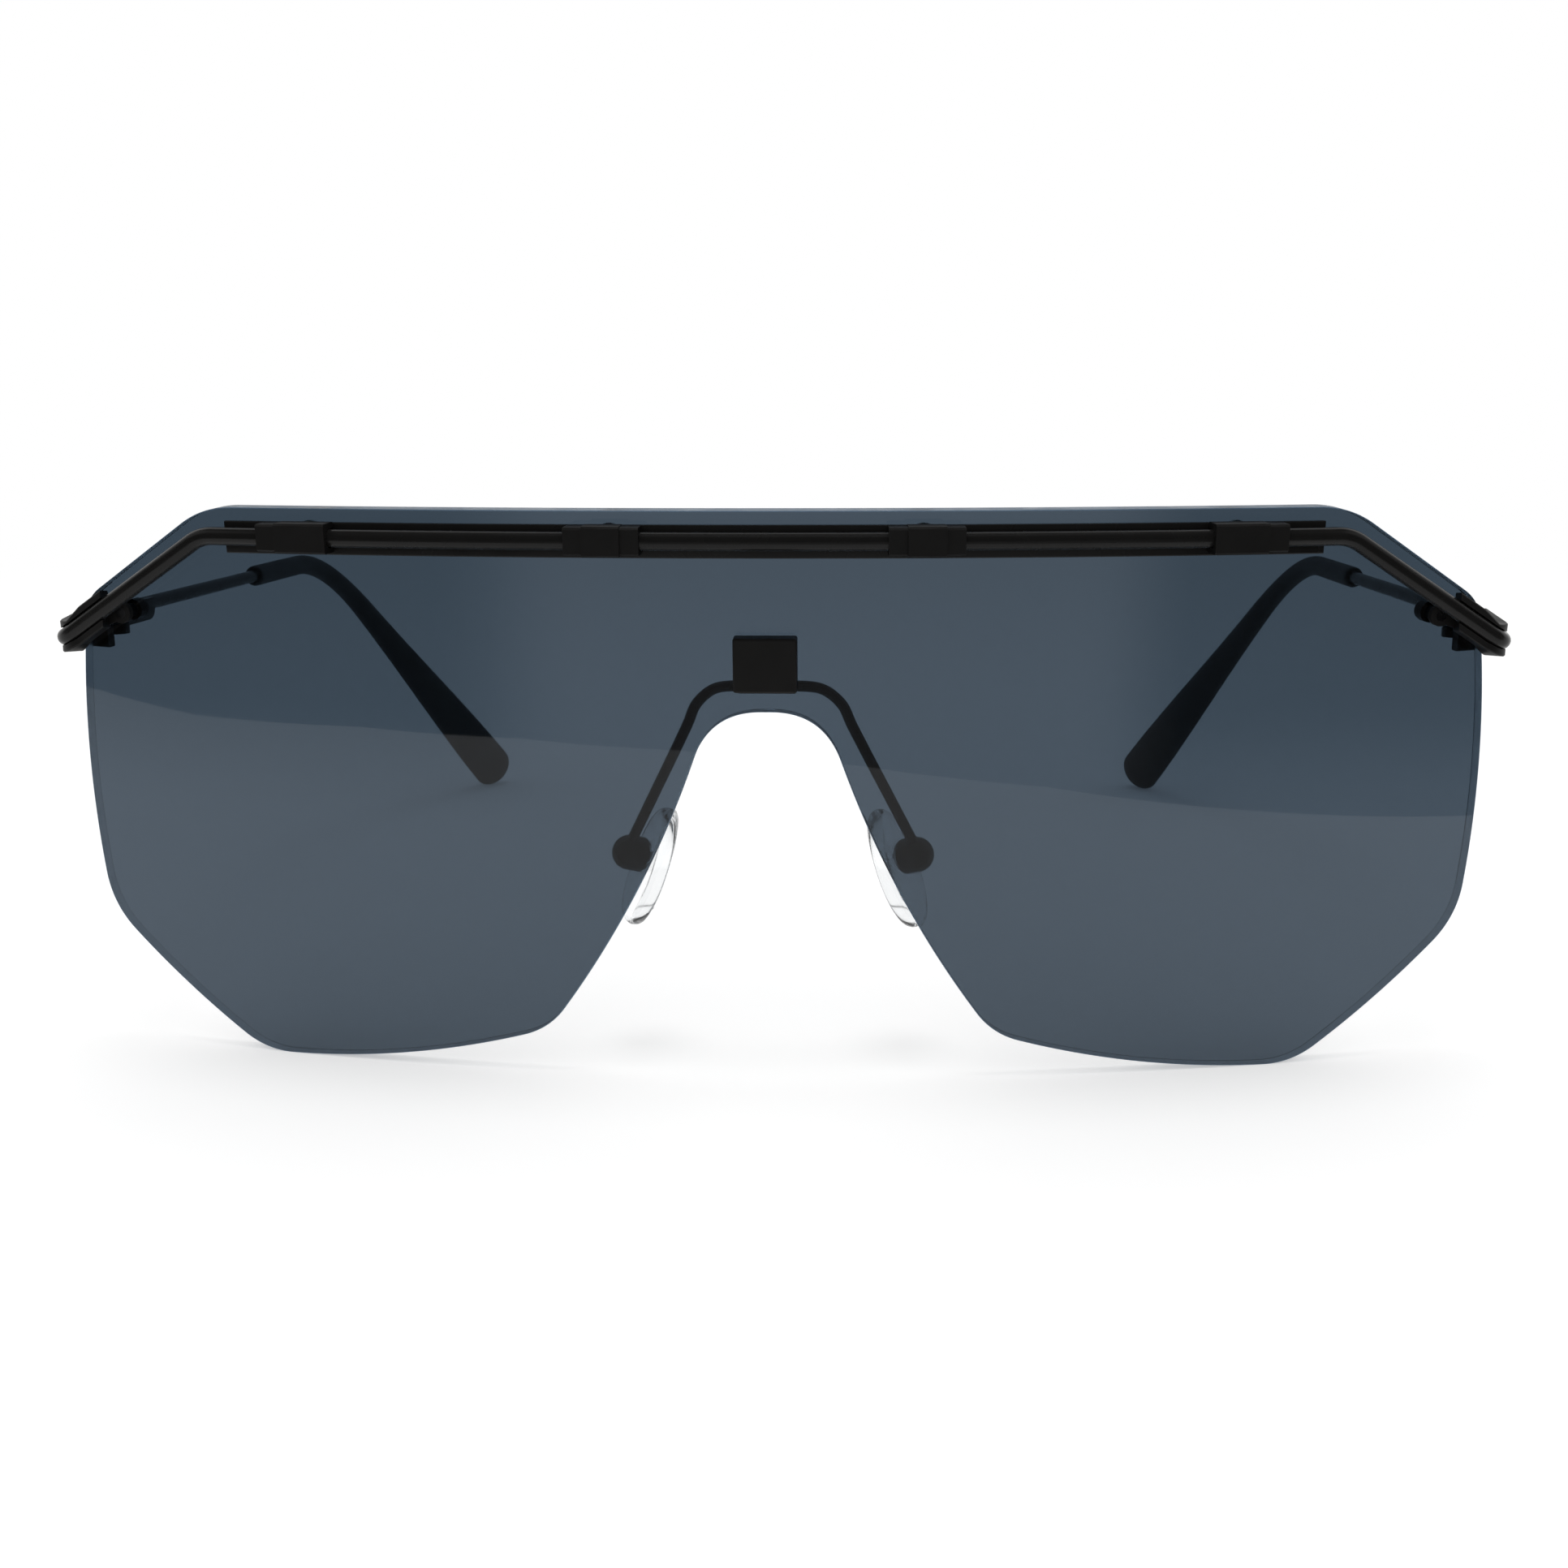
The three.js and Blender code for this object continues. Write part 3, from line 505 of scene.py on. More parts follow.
browBar = {
    "plate": {"width": 3.2, "thickness": 0.6, "corner": 0.14, "halfLength": 53.9, "steps": 90},
    "height": 55.47,  # middle line of the plate at the centre
    "fall": 0.46,  # of the plate's ends
    "wireRadius": 0.9,
    "wireRise": 0.18,
    "bend": 56.0,  # where the wire turns down
    "bendRound": 1.3,
    "slope": math.radians(34),
    "leavesLens": 69.6,
    "tail": {"inside": 72.05, "end": 18.6, "height": 44.5},
    "wireTurn": 1.8,
    "gap": 0.05,
    "step": 1.2,  # spacing of path points
    "ends": 0.16,  # rounding of a bar's ends
    "sides": 36,
}
gap, plateThickness, wireRadius = browBar["gap"], browBar["plate"]["thickness"], browBar["wireRadius"]
wireRoom = wireRadius + gap
wireOut = 2 * gap + plateThickness + wireRadius


def browLine(x):
    return browBar["height"] - browBar["fall"] * (x / browBar["plate"]["halfLength"]) ** 2


browScrews = {
    "places": {"outer": 45.9, "inner": 15.3},  # behind the collars
    "sizes": {"Shank": 0.6, "Slot": 0.4, "Head": 1.2, "Height": 0.7, "Seed": 7},
    "washer": {"Radius": 1.5, "Height": 0.4},
}
clampScrews = {"x": 66.6, "z": 46.7, "clamp": 1.0, "sizes": {"Head": 1.0, "Height": 0.5, "Seed": 11}}
bridge = {
    "block": (6.2, 1.8, 5.35),
    "blockHeight": 43.65,
    "blockEdge": 0.25,
    "bracketEdge": 0.1,
    "screwX": 1.5,
    "screwZ": 43.9,
    "screwReach": 1.2,
    "sizes": {"Seed": 3},
    "bracketDepth": 1.7,
    "armRadius": 0.55,
    "armHeight": 40.7,
    # out from the centre, back from the bracket's middle, up from the arm's own height
    "armBends": [(1.6, 0, 0), (3.4, 0.4, 0), (5.5, 1.7, -0.65), (7.3, 2.7, -2.4), (8.3, 3.3, -4.7)],
    "armParts": 8,
}


def fixingSpots():  # x, z and the end of the node's name
    def bothSides(x, z, where=""):
        return [(sign * x, z, where + side) for side, sign in sideSigns.items()]

    outer, inner = (bothSides(x, browLine(x), where + "_") for where, x in browScrews["places"].items())
    clamp, nose = bothSides(clampScrews["x"], clampScrews["z"]), bothSides(bridge["screwX"], bridge["screwZ"])
    return outer + inner, clamp, nose


# Shield lens: a triangulated sheet bent over two cylinders, with a polished rounding at its edge

def bowedSide(first, second):
    start, end = Vector(first[:2]), Vector(second[:2])
    along = end - start
    outward = Vector((-along.y, along.x)).normalized()
    control = (start + end) / 2 + outward * 2 * first[3]
    fromT, toT = first[2] / along.length, 1 - second[2] / along.length

    def blend(s, t):
        return start * (1 - s) * (1 - t) + control * (s + t - 2 * s * t) + end * s * t

    return blend(fromT, fromT), blend(fromT, toT), blend(toT, toT)


def roundedCorner(into, outOf):
    ahead, onward, apart = into[2] - into[1], outOf[1] - outOf[0], outOf[0] - into[2]
    reach = apart.cross(onward) / ahead.cross(onward)
    return into[2], into[2] + ahead * reach, outOf[0]


def lensOutline():
    corners = shield["corners"]
    spans = [bowedSide(a, b) for a, b in zip(corners, corners[1:])]
    arcs = [(spans[0], shield["sideStep"])]
    for before, span in zip(spans, spans[1:]):
        arcs += [(roundedCorner(before, span), shield["cornerStep"]), (span, shield["sideStep"])]
    half = [Vector(corners[0][:2])]
    for (a, b, c), step in arcs:
        parts = max(2, math.ceil((c - a).length / step))
        half += [a.lerp(b, k / parts).lerp(b.lerp(c, k / parts), k / parts) for k in range(1, parts + 1)]
    return half + [Vector((-p.x, p.y)) for p in reversed(half[1:-1])]


def insetLoop(loop, inset):
    moved = []
    for i, point in enumerate(loop):
        along = loop[(i + 1) % len(loop)] - loop[i - 1]
        moved.append(point - Vector((-along.y, along.x)).normalized() * inset)
    return moved


def insideLoop(x, z, loop):
    crossings = 0
    for a, b in zip(loop, loop[1:] + loop[:1]):
        if (a.y > z) != (b.y > z) and x < a.x + (z - a.y) * (b.x - a.x) / (b.y - a.y):
            crossings += 1
    return crossings % 2 == 1


def lensHoles():
    turns, radius = fullTurn(shield["holeSides"]), shield["hole"]
    return [
        [Vector((x + radius * math.cos(t), z + radius * math.sin(t))) for t in turns]
        for spots in fixingSpots() for x, z, _ in spots
    ]


def facetPoints(inner, rim):
    facet, pitch = shield["facet"], shield["facet"] * shield["rowPitch"]
    rows, columns = math.ceil(shield["topHeight"] / pitch), math.ceil(shield["halfWidth"] / facet)
    clear = (shield["clear"] * facet) ** 2
    spread = []
    for row in range(rows + 1):
        for column in range(-columns, columns + 1):
            x, z = (column + 0.5 * (row % 2)) * facet, row * pitch
            point = Vector((x, z))
            if insideLoop(x, z, inner) and min((point - p).length_squared for p in rim) > clear:
                spread.append(point)
    return spread


def buildShieldLens():
    outline = lensOutline()
    edge, thickness = shield["rounding"], shield["thickness"]
    inner = insetLoop(outline, edge)
    rims, rim = [], []
    for loop in [inner] + lensHoles():
        rims.append(list(range(len(rim), len(rim) + len(loop))))
        rim += loop
    holesLeftOpen, mergeDistance = 2, 1e-5
    made = delaunay_2d_cdt(rim + facetPoints(inner, rim), [], rims, holesLeftOpen, mergeDistance)
    sheet, triangles, origins = made[0], made[2], made[3]
    placed = {given: i for i, many in enumerate(origins) for given in many}
    rings = [[placed[i] for i in ring] for ring in rims]
    count = len(sheet)
    points = [onLens(p.x, p.y, -depth) for depth in (0, thickness) for p in sheet]
    faces = [tuple(t) for t in triangles] + [tuple(i + count for i in reversed(t)) for t in triangles]
    marks = [len(faces)]  # where the finish changes
    for ring in rings[1:]:
        faces += quadsBetween(ring, [i + count for i in ring])
    marks.append(len(faces))
    turns = spaced(0, math.pi / 2, shield["roundParts"])[1:]
    steps = [(edge * (1 - math.sin(t)), edge * (1 - math.cos(t))) for t in turns]
    steps += [(inset, thickness - depth) for inset, depth in reversed(steps)]
    last = rings[0]
    for inset, depth in steps:
        fresh = list(range(len(points), len(points) + len(outline)))
        points += [onLens(p.x, p.y, -depth) for p in insetLoop(outline, inset)]
        faces += quadsBetween(last, fresh)
        last = fresh
    marks.append(marks[-1] + (shield["roundParts"] + 1) * len(outline))  # front rounding and wall
    faces += quadsBetween(last, [i + count for i in rings[0]])
    piece = makePiece("shield_lens", (points, faces), frontPlace, "smokeLens", sharp=shield["sharp"])
    # The hole walls take black paint: painted shade that keeps the holes dark.
    for finish in ("matteBlack", "groundEdge"):
        piece.data.materials.append(finishes[finish])
    for face in piece.data.polygons:  # glass, black walls in the holes as painted shade, ground wall, polished rear rounding
        face.material_index = (0, 1, 2, 0)[sum(face.index >= mark for mark in marks)]
    fit(piece, "front", "smokeLens", "shield_lens")
    print("shield lens:", len(piece.data.polygons), "faces")


# Bars along a path: the guide is a line of points, and the tree gives it a section.

def finishTree(tree, made, given, result):
    smooth = addNode(tree, "GeometryNodeSetShadeSmooth", {"Geometry": made})
    real = addNode(tree, "GeometryNodeRealizeInstances", {"Geometry": smooth})
    dressed = addNode(tree, "GeometryNodeSetMaterial", {"Geometry": real, "Material": given["Finish"]})
    setInputs(tree, result, {0: dressed})
    return tree


def roundBarTree():
    sockets = {"Guide": "Geometry", "Radius": 1.0, "Sides": 32, "Finish": "Material"}
    tree, given, result = newTree("roundBar", "GeometryNodeTree", sockets, "Bar")
    line = addNode(tree, "GeometryNodeMeshToCurve", {"Mesh": given["Guide"]})
    swell = addNode(tree, "GeometryNodeInputNamedAttribute", {"Name": "swell"}, data_type="FLOAT")
    circle = {"Resolution": given["Sides"], "Radius": given["Radius"]}
    section = addNode(tree, "GeometryNodeCurvePrimitiveCircle", circle)
    sweep = {"Curve": line, "Profile Curve": section, "Scale": swell, "Fill Caps": True}
    return finishTree(tree, addNode(tree, "GeometryNodeCurveToMesh", sweep), given, result)


def flatBarTree():
    sockets = {"Guide": "Geometry", "Width": 1.0, "Thickness": 1.0, "Corner": 0.1, "Finish": "Material"}
    tree, given, result = newTree("flatBar", "GeometryNodeTree", sockets, "Bar")
    line = addNode(tree, "GeometryNodeMeshToCurve", {"Mesh": given["Guide"]})
    level = addNode(tree, "GeometryNodeSetCurveNormal", {"Curve": line}, mode="Z_UP")
    oblong = {"Width": given["Thickness"], "Height": given["Width"]}
    section = addNode(tree, "GeometryNodeCurvePrimitiveQuadrilateral", oblong)
    easing = {"Curve": section, "Radius": given["Corner"], "Count": 4}
    eased = addNode(tree, "GeometryNodeFilletCurve", easing, mode="POLY")
    sweep = {"Curve": level, "Profile Curve": eased, "Fill Caps": True}
    return finishTree(tree, addNode(tree, "GeometryNodeCurveToMesh", sweep), given, result)


def growPiece(name, tree, points, place, lines=(), attribute=None, edge=None, **inputs):
    guide = bpy.data.meshes.new(name + "Guide")
    guide.from_pydata(points, lines, [])
    if attribute:
        label, kind, field, values = attribute
        guide.attributes.new(label, kind, "POINT").data.foreach_set(field, values)
    piece = newPiece(name, guide)
    nodes = piece.modifiers.new("grow", "NODES")
    nodes.node_group = tree
    for item in tree.interface.items_tree:
        if item.in_out == "INPUT" and item.name in inputs:
            nodes[item.identifier] = inputs[item.name]
    settle(piece)
    piece.data.transform(place)
    closeUp(piece.data)
    return finishEdges(piece, edge)


barTrees = {"round": roundBarTree(), "flat": flatBarTree()}


def chain(points):
    return [(i, i + 1) for i in range(len(points) - 1)]


def growRoundBar(node, path, radius, place, body):
    eased = [(0.0, 0.0), (0.3, 0.12), (1.0, 1.0)]  # share of the rounding along the bar and across it
    ends = browBar["ends"]

    def roundedEnd(end, inner):
        inward = (inner - end).normalized() * ends
        return [(end + inward * a, 1 - ends / radius * (1 - b) ** 2) for a, b in eased]

    middle = [(point, 1.0) for point in path[1:-1]]
    stations = roundedEnd(path[0], path[1]) + middle + roundedEnd(path[-1], path[-2])[::-1]
    points, swells = zip(*stations)
    swell = ("swell", "FLOAT", "value", swells)
    sizes = {"Radius": radius, "Sides": browBar["sides"], "Finish": finishes["satinBlack"]}
    bar = growPiece(pieceName(node), barTrees["round"], points, place, chain(points), swell, **sizes)
    fit(bar, body, "satinBlack", node)


def besideBend(x):
    top = browBar["height"] + browBar["wireRise"] - browBar["fall"]
    return Vector((x, top - (x - browBar["bend"]) * math.tan(browBar["slope"]), 0))


def aroundEdge(sheetPath, out, tailX, turn):
    onSheet = [onLens(p.x, p.y, out) for p in sheetPath]
    onward = onSheet[-1] - onSheet[-2]
    corner = onSheet[-1] + onward * ((tailX - onSheet[-1].x) / onward.x)
    stop = Vector((tailX, browBar["tail"]["end"], browBar["tail"]["height"]))
    return onSheet[:-1] + bentLine([(onSheet[-1], 0), (corner, turn), (stop, 0)], browBar["step"])


def wireWay():
    level, bend, rounding = browBar["height"] + browBar["wireRise"], browBar["bend"], browBar["bendRound"]
    corners = [
        (Vector((0, level, 0)), 0),
        (Vector((bend / 2, level, 0)), bend / 2 - rounding),
        (besideBend(bend), rounding),
        (besideBend(browBar["leavesLens"]), 0),
    ]
    tailX = browBar["tail"]["inside"] + wireOut - gap
    return aroundEdge(bentLine(corners, browBar["step"]), wireOut, tailX, browBar["wireTurn"])


def buildBrowBar():
    right = wireWay()
    left = [Vector((-p.x, p.y, p.z)) for p in reversed(right[1:])]
    growRoundBar("brow_wire", left + right, wireRadius, frontPlace, "front")
    plate, finish = browBar["plate"], "satinBlack"
    xs = spaced(-plate["halfLength"], plate["halfLength"], plate["steps"])
    points = [onLens(x, browLine(x), gap + plateThickness / 2) for x in xs]
    sizes = {"Width": plate["width"], "Thickness": plateThickness, "Corner": plate["corner"]}
    strip = growPiece(
        "browPlate", barTrees["flat"], points, frontPlace, chain(points), Finish=finishes[finish], **sizes
    )
    fit(strip, "front", finish, "brow_plate")
    print("brow bar bent")


# Collars: saddles over the wire, thinner at one end or both

collar = {
    "length": 7.2,
    "width": 2.95,
    "rise": 0.25,  # above the plate's middle line
    "roof": 0.4,
    "stepDown": 0.25,
    "corner": 0.2,
    "edge": 0.06,
    "steps": {"outer": (0.0, 2.0), "inner": (1.8, 1.8)},
    "arcParts": 16,
}


def saddleSection(width, depth):
    half, corner, parts = width / 2, collar["corner"], collar["arcParts"]
    rise = browBar["wireRise"] - collar["rise"]
    upper = [(half - corner, 0), (half, corner), (half, depth - corner), (half - corner, depth)]
    under = [(-up, out) for up, out in reversed(upper)]
    turns = spaced(math.pi, 0, parts)
    inside = [(rise + wireRoom * math.cos(t), wireRadius + wireRoom * math.sin(t)) for t in turns]
    return upper + under + [(rise - wireRoom, 0)] + inside + [(rise + wireRoom, 0)]


def buildCollars():
    width, stepDown = collar["width"], collar["stepDown"]
    depth = 2 * wireRadius + gap + collar["roof"]
    thin, thick = saddleSection(width - stepDown, depth - stepDown), saddleSection(width, depth)
    for where, (innerStep, outerStep) in collar["steps"].items():
        middle = browScrews["places"][where]
        start, stop = middle - collar["length"] / 2, middle + collar["length"] / 2
        stations = [(start, thin), (start + innerStep, thin)] if innerStep else []
        stations += [(start + innerStep, thick), (middle, thick), (stop - outerStep, thick)]
        stations += [(stop - outerStep, thin), (stop, thin)] if outerStep else []
        path = [onLens(x, browLine(x) + collar["rise"], 2 * gap + plateThickness) for x, _ in stations]
        saddle = sweepSections(path, [section for _, section in stations])
        for side in sideSigns:
            node = f"brow_collar_{where}_{side}"
            addPiece(node, "front", saddle, frontSide(side), "matteBlack", collar["edge"])
    print("collars set on the brow wire")


# Endpieces: a channel that holds the wire round the lens edge, with a lug under the clamp screw

endpiece = {
    "start": 68.3,  # both flanges are cut off here
    "width": 3.2,
    "depth": 2.05,
    "corner": 0.12,
    "turn": 0.7,
    "edge": 0.06,
    "lug": 1.1,
    "lugParts": 36,
    "neck": (70.1, 45.3),
    "neckWidth": 1.4,
    "trim": 0.4,  # off the upper flange beyond the lens edge
    "trimEnd": 71.65,
    "arcParts": 16,
}


def smoothStep(value, low, high):
    t = min(max((value - low) / (high - low), 0.0), 1.0)
    return t * t * (3 - 2 * t)


def channelSection(lower, trim):
    depth, corner, parts = (endpiece[key] for key in ("depth", "corner", "arcParts"))
    top, foot = endpiece["width"] / 2 - trim, endpiece["width"] / 2 + lower
    turns = spaced(0, -math.pi, parts)
    slot = [(wireRoom * math.cos(t) - lower, wireOut - gap + wireRoom * math.sin(t)) for t in turns]
    upper = [(top - corner, 0), (top, corner), (top, depth - corner), (top - corner, depth)]
    under = [(corner - foot, depth), (-foot, depth - corner), (-foot, corner), (corner - foot, 0)]
    return upper + [(wireRoom - lower, depth)] + slot + [(-wireRoom - lower, depth)] + under


def wireBelow(path):
    wire, lower = wireWay(), []
    for i, centre in enumerate(path):
        along, _, across = pathFrame(path, i)
        crossings = []
        for a, b in zip(wire, wire[1:]):
            before, after = (a - centre).dot(along), (b - centre).dot(along)
            if before <= 0 < after:
                crossings.append(a.lerp(b, before / (before - after)) - centre)
        nearest = min(crossings, key=lambda apart: apart.length, default=None)
        lower.append(max(0.0, -nearest.dot(across)) if nearest else lower[-1])
    return lower


def lugOutline():
    centre, neck = Vector((clampScrews["x"], clampScrews["z"])), Vector(endpiece["neck"])
    along = (neck - centre).normalized()
    across = Vector((-along.y, along.x)) * endpiece["neckWidth"] / 2
    spread = math.asin(endpiece["neckWidth"] / 2 / endpiece["lug"])
    facing, parts = math.atan2(along.y, along.x), endpiece["lugParts"]
    turns = spaced(facing + spread, facing + 2 * math.pi - spread, parts)
    disc = [centre + Vector((math.cos(t), math.sin(t))) * endpiece["lug"] for t in turns]
    return disc + [neck - across, neck + across]


def buildEndpieces():
    start, leaves = endpiece["start"], browBar["leavesLens"]
    ends = [besideBend(x) for x in (start - endpiece["width"] / 2, leaves)]
    path = aroundEdge(ends, gap, browBar["tail"]["inside"], endpiece["turn"])
    trims = [endpiece["trim"] * smoothStep(p.x, leaves, endpiece["trimEnd"]) for p in path]
    sections = [channelSection(lower, trim) for lower, trim in zip(wireBelow(path), trims)]
    channel = sweepSections(path, sections)
    along = path[1] - path[0]
    for i in range(len(sections[0])):  # the first ring slides on to an upright cut
        channel[0][i] += along * ((start - channel[0][i].x) / along.x)
    lug = loftRings([[onLens(p.x, p.y, gap + out) for p in lugOutline()] for out in (0, plateThickness)])
    for side in sideSigns:
        piece = makePiece(f"endpiece_{side}", channel, frontSide(side), "matteBlack")
        ear = makePiece(f"lug_{side}", lug, frontSide(side), "matteBlack")
        join = piece.modifiers.new("lug", "BOOLEAN")
        join.operation, join.solver, join.object = "UNION", "EXACT", ear
        settle(piece)
        bpy.data.objects.remove(ear)
        closeUp(piece.data)
        breakEdges(piece, endpiece["edge"])
        fit(piece, "front", "matteBlack", f"endpiece_{side}")
    print("endpieces wrapped round the lens edge")


# Screws and washers: one grown on each marked point, the slots turned at random

def seatTree(tree, mesh, given, result, seed=None):
    facing = addNode(tree, "GeometryNodeInputNamedAttribute", {"Name": "facing"}, data_type="FLOAT_VECTOR")
    turn = addNode(tree, "FunctionNodeAlignRotationToVector", {"Vector": facing}, axis="Z")
    if seed:
        limit = {3: math.pi, "Seed": seed}  # 3 is the float's largest value
        spin = addNode(tree, "FunctionNodeRandomValue", limit, data_type="FLOAT")
        spun = addNode(tree, "ShaderNodeCombineXYZ", {"Z": spin.outputs[1]})
        both = {"Rotation": turn, "Rotate By": spun}
        turn = addNode(tree, "FunctionNodeRotateRotation", both, rotation_space="LOCAL")
    seats = {"Points": given["Seats"], "Instance": mesh, "Rotation": turn}
    return finishTree(tree, addNode(tree, "GeometryNodeInstanceOnPoints", seats), given, result)


def cutAway(tree, mesh, cutter):
    meshes = {"Mesh 1": mesh, "Mesh 2": cutter}
    return addNode(tree, "GeometryNodeMeshBoolean", meshes, operation="DIFFERENCE", solver="EXACT")


screwShape = {
    # shares of the head's height
    "sunk": 0.3,  # the shank runs on into the head
    "rim": 0.6,
    "slotMiddle": 1.08,
    # shares of its radius
    "crown": 0.75,
    "blade": 2.4,
    "headSides": 40,
    "shankSides": 32,
}


def slottedScrewTree():
    sizes = {"Shank": 0.6, "Length": 3.0, "Head": 1.2, "Height": 0.7, "Slot": 0.4, "Seed": 7}
    sockets = {"Seats": "Geometry", **sizes, "Finish": "Material"}
    tree, given, result = newTree("slottedScrews", "GeometryNodeTree", sockets, "Screws")
    length, height, head = given["Length"], given["Height"], given["Head"]

    def share(value, factor):
        return addMath(tree, "MULTIPLY", value, factor)

    def lifted(kind, values, rise):
        mesh = addNode(tree, "GeometryNodeMesh" + kind, values)
        offset = addNode(tree, "ShaderNodeCombineXYZ", {"Z": rise})
        return addNode(tree, "GeometryNodeTransform", {"Geometry": mesh, "Translation": offset})

    sunk, low = share(height, screwShape["sunk"]), screwShape["rim"]
    sides = {"Vertices": screwShape["headSides"]}
    whole = addMath(tree, "ADD", length, sunk)
    shank = {"Vertices": screwShape["shankSides"], "Radius": given["Shank"], "Depth": whole}
    rim = {**sides, "Radius": head, "Depth": share(height, low)}
    top = {"Radius Top": share(head, screwShape["crown"]), "Depth": share(height, 1 - low)}
    crown = {**sides, "Radius Bottom": head, **top}
    screw = addNode(tree, "GeometryNodeMeshBoolean", {}, operation="UNION", solver="EXACT")
    for mesh in (
        lifted("Cylinder", shank, share(addMath(tree, "SUBTRACT", sunk, length), 0.5)),
        lifted("Cylinder", rim, share(height, low / 2)),
        lifted("Cone", crown, share(height, low)),
    ):
        setInputs(tree, screw, {"Mesh 2": mesh})
    blade = {"X": share(head, screwShape["blade"]), "Y": given["Slot"], "Z": height}
    slot = {"Size": addNode(tree, "ShaderNodeCombineXYZ", blade)}
    slotted = cutAway(tree, screw, lifted("Cube", slot, share(height, screwShape["slotMiddle"])))
    return seatTree(tree, slotted, given, result, given["Seed"])


def washerTree():
    sockets = {"Seats": "Geometry", "Radius": 1.5, "Bore": 0.7, "Height": 0.4, "Finish": "Material"}
    tree, given, result = newTree("washers", "GeometryNodeTree", sockets, "Washers")
    height = given["Height"]
    through = addMath(tree, "MULTIPLY", height, 2.0)
    disc = {"Vertices": screwShape["headSides"], "Radius": given["Radius"], "Depth": height}
    bore = {"Vertices": screwShape["shankSides"], "Radius": given["Bore"], "Depth": through}
    ring = cutAway(tree, *(addNode(tree, "GeometryNodeMeshCylinder", values) for values in (disc, bore)))
    return seatTree(tree, ring, given, result)


hinge = {
    "bodies": {
        "hinge_bracket": "front",
        "temple_knuckle": "temple",
        "temple_leaf": "temple",
        "lens_clamp": "front",
    },
    "edge": 0.06,
    "screwSeat": 1.55,
    "screwBelow": 1.7,
    "sizes": {"Head": 1.1, "Height": 0.6, "Seed": 5},
}
fixingEdge = 0.05


def turnedUp(axis):
    return axis if axis.z > 0 else -axis


def growFixings(node, tree, spots, place, finish, sizes):  # a spot is seat, facing and the node's ending
    seats, facings, endings = zip(*spots)
    facing = ("facing", "FLOAT_VECTOR", "vector", [value for vector in facings for value in vector])
    inputs = {**sizes, "Finish": finishes[finish]}
    piece = growPiece(pieceName(node) + "s", tree, seats, place, attribute=facing, edge=fixingEdge, **inputs)
    fit(piece, "front", finish, *(f"{node}_{ending}" for ending in endings))


def buildFixings():
    screws, steel, washer = slottedScrewTree(), "screwSteel", browScrews["washer"]
    brow, clamp, nose = fixingSpots()
    rear, intoPlate = shield["thickness"] + gap, gap + plateThickness

    def behindLens(spots, depth):
        return [(onLens(x, z, -depth), squareToLens(x), ending) for x, z, ending in spots]

    def screwOn(node, spots, part, beyond, screw):  # part is the thickness under the head
        seat = rear + part + gap
        sizes = {**browScrews["sizes"], **screw["sizes"], "Length": seat + beyond}
        growFixings(node, screws, behindLens(spots, seat), frontPlace, steel, sizes)

    screwOn("brow_screw", brow, washer["Height"], intoPlate, browScrews)
    sizes, spots = {**washer, "Bore": shield["hole"]}, behindLens(brow, rear + washer["Height"] / 2)
    growFixings("brow_washer", washerTree(), spots, frontPlace, "whiteNylon", sizes)
    screwOn("bridge_screw", nose, bridge["bracketDepth"], bridge["screwReach"], bridge)
    screwOn("lens_clamp_screw", clamp, clampScrews["clamp"], intoPlate, clampScrews)
    spots = []
    for side in sideSigns:
        fold = joints[f"temple_fold_{side}"]
        up = turnedUp(Vector(fold["axis"]))
        spots.append((Vector(fold["pos_m"]) / mm + up * hinge["screwSeat"], up, side))
    sizes = {**browScrews["sizes"], **hinge["sizes"], "Length": hinge["screwSeat"] + hinge["screwBelow"]}
    growFixings("hinge_screw", screws, spots, toMetres, steel, sizes)
    print("screws and washers seated")


def buildHinges():
    for side in sideSigns:
        for node, body in hinge["bodies"].items():
            dressCopy(f"{node}_{side}", body if body == "front" else f"{body}_{side}", hinge["edge"])
    print("hinges and clamps dressed")


# Temples: wire and moulded tip, about the hinge axis with y along the temple

temple = {
    "lean": math.radians(0.6),
    "wireX": 2.85,
    "wireRadius": 0.8,
    "wireStart": 0.2,
    "wireParts": 40,
    "wireInTip": 15.0,
    "tipStart": 54.4,
    "tipBend": 86.5,
    "tipBendRound": 13.0,
    "tipEnd": (-15.2, 125.4, -40.32),
    "tipStep": 1.0,
    "halfStart": (1.35, 1.3),
    "halfEnd": (3.4, 1.6),
    "twist": math.radians(-25),
    "mouth": (0.7, 0.3),  # length and inset of the rounding over the wire
    "mouthParts": 6,
    "boreDepth": 3,
    "capTurns": [math.radians(7.8 * k) for k in range(1, 12)],
    "sides": 48,
    "sharp": math.radians(50),
}


def templePlace(side):
    joint, across = joints[f"temple_fold_{side}"], Vector((1, 0, 0))
    up = turnedUp(Vector(joint["axis"]))
    turn = Matrix((across, up.cross(across), up)).transposed().to_4x4()
    lean = Matrix.Rotation(temple["lean"], 4, "Z")
    return Matrix.Translation(joint["pos_m"]) @ turn @ mirrors[side] @ lean @ toMetres


def ellipseSection(halfUp, halfOut, turn):
    across = [(halfUp * math.cos(t), halfOut * math.sin(t)) for t in fullTurn(temple["sides"])]
    cos, sin = math.cos(turn), math.sin(turn)
    return [(up * cos - out * sin, up * sin + out * cos) for up, out in across]


def onTemple(y):
    return Vector((temple["wireX"], y, 0))


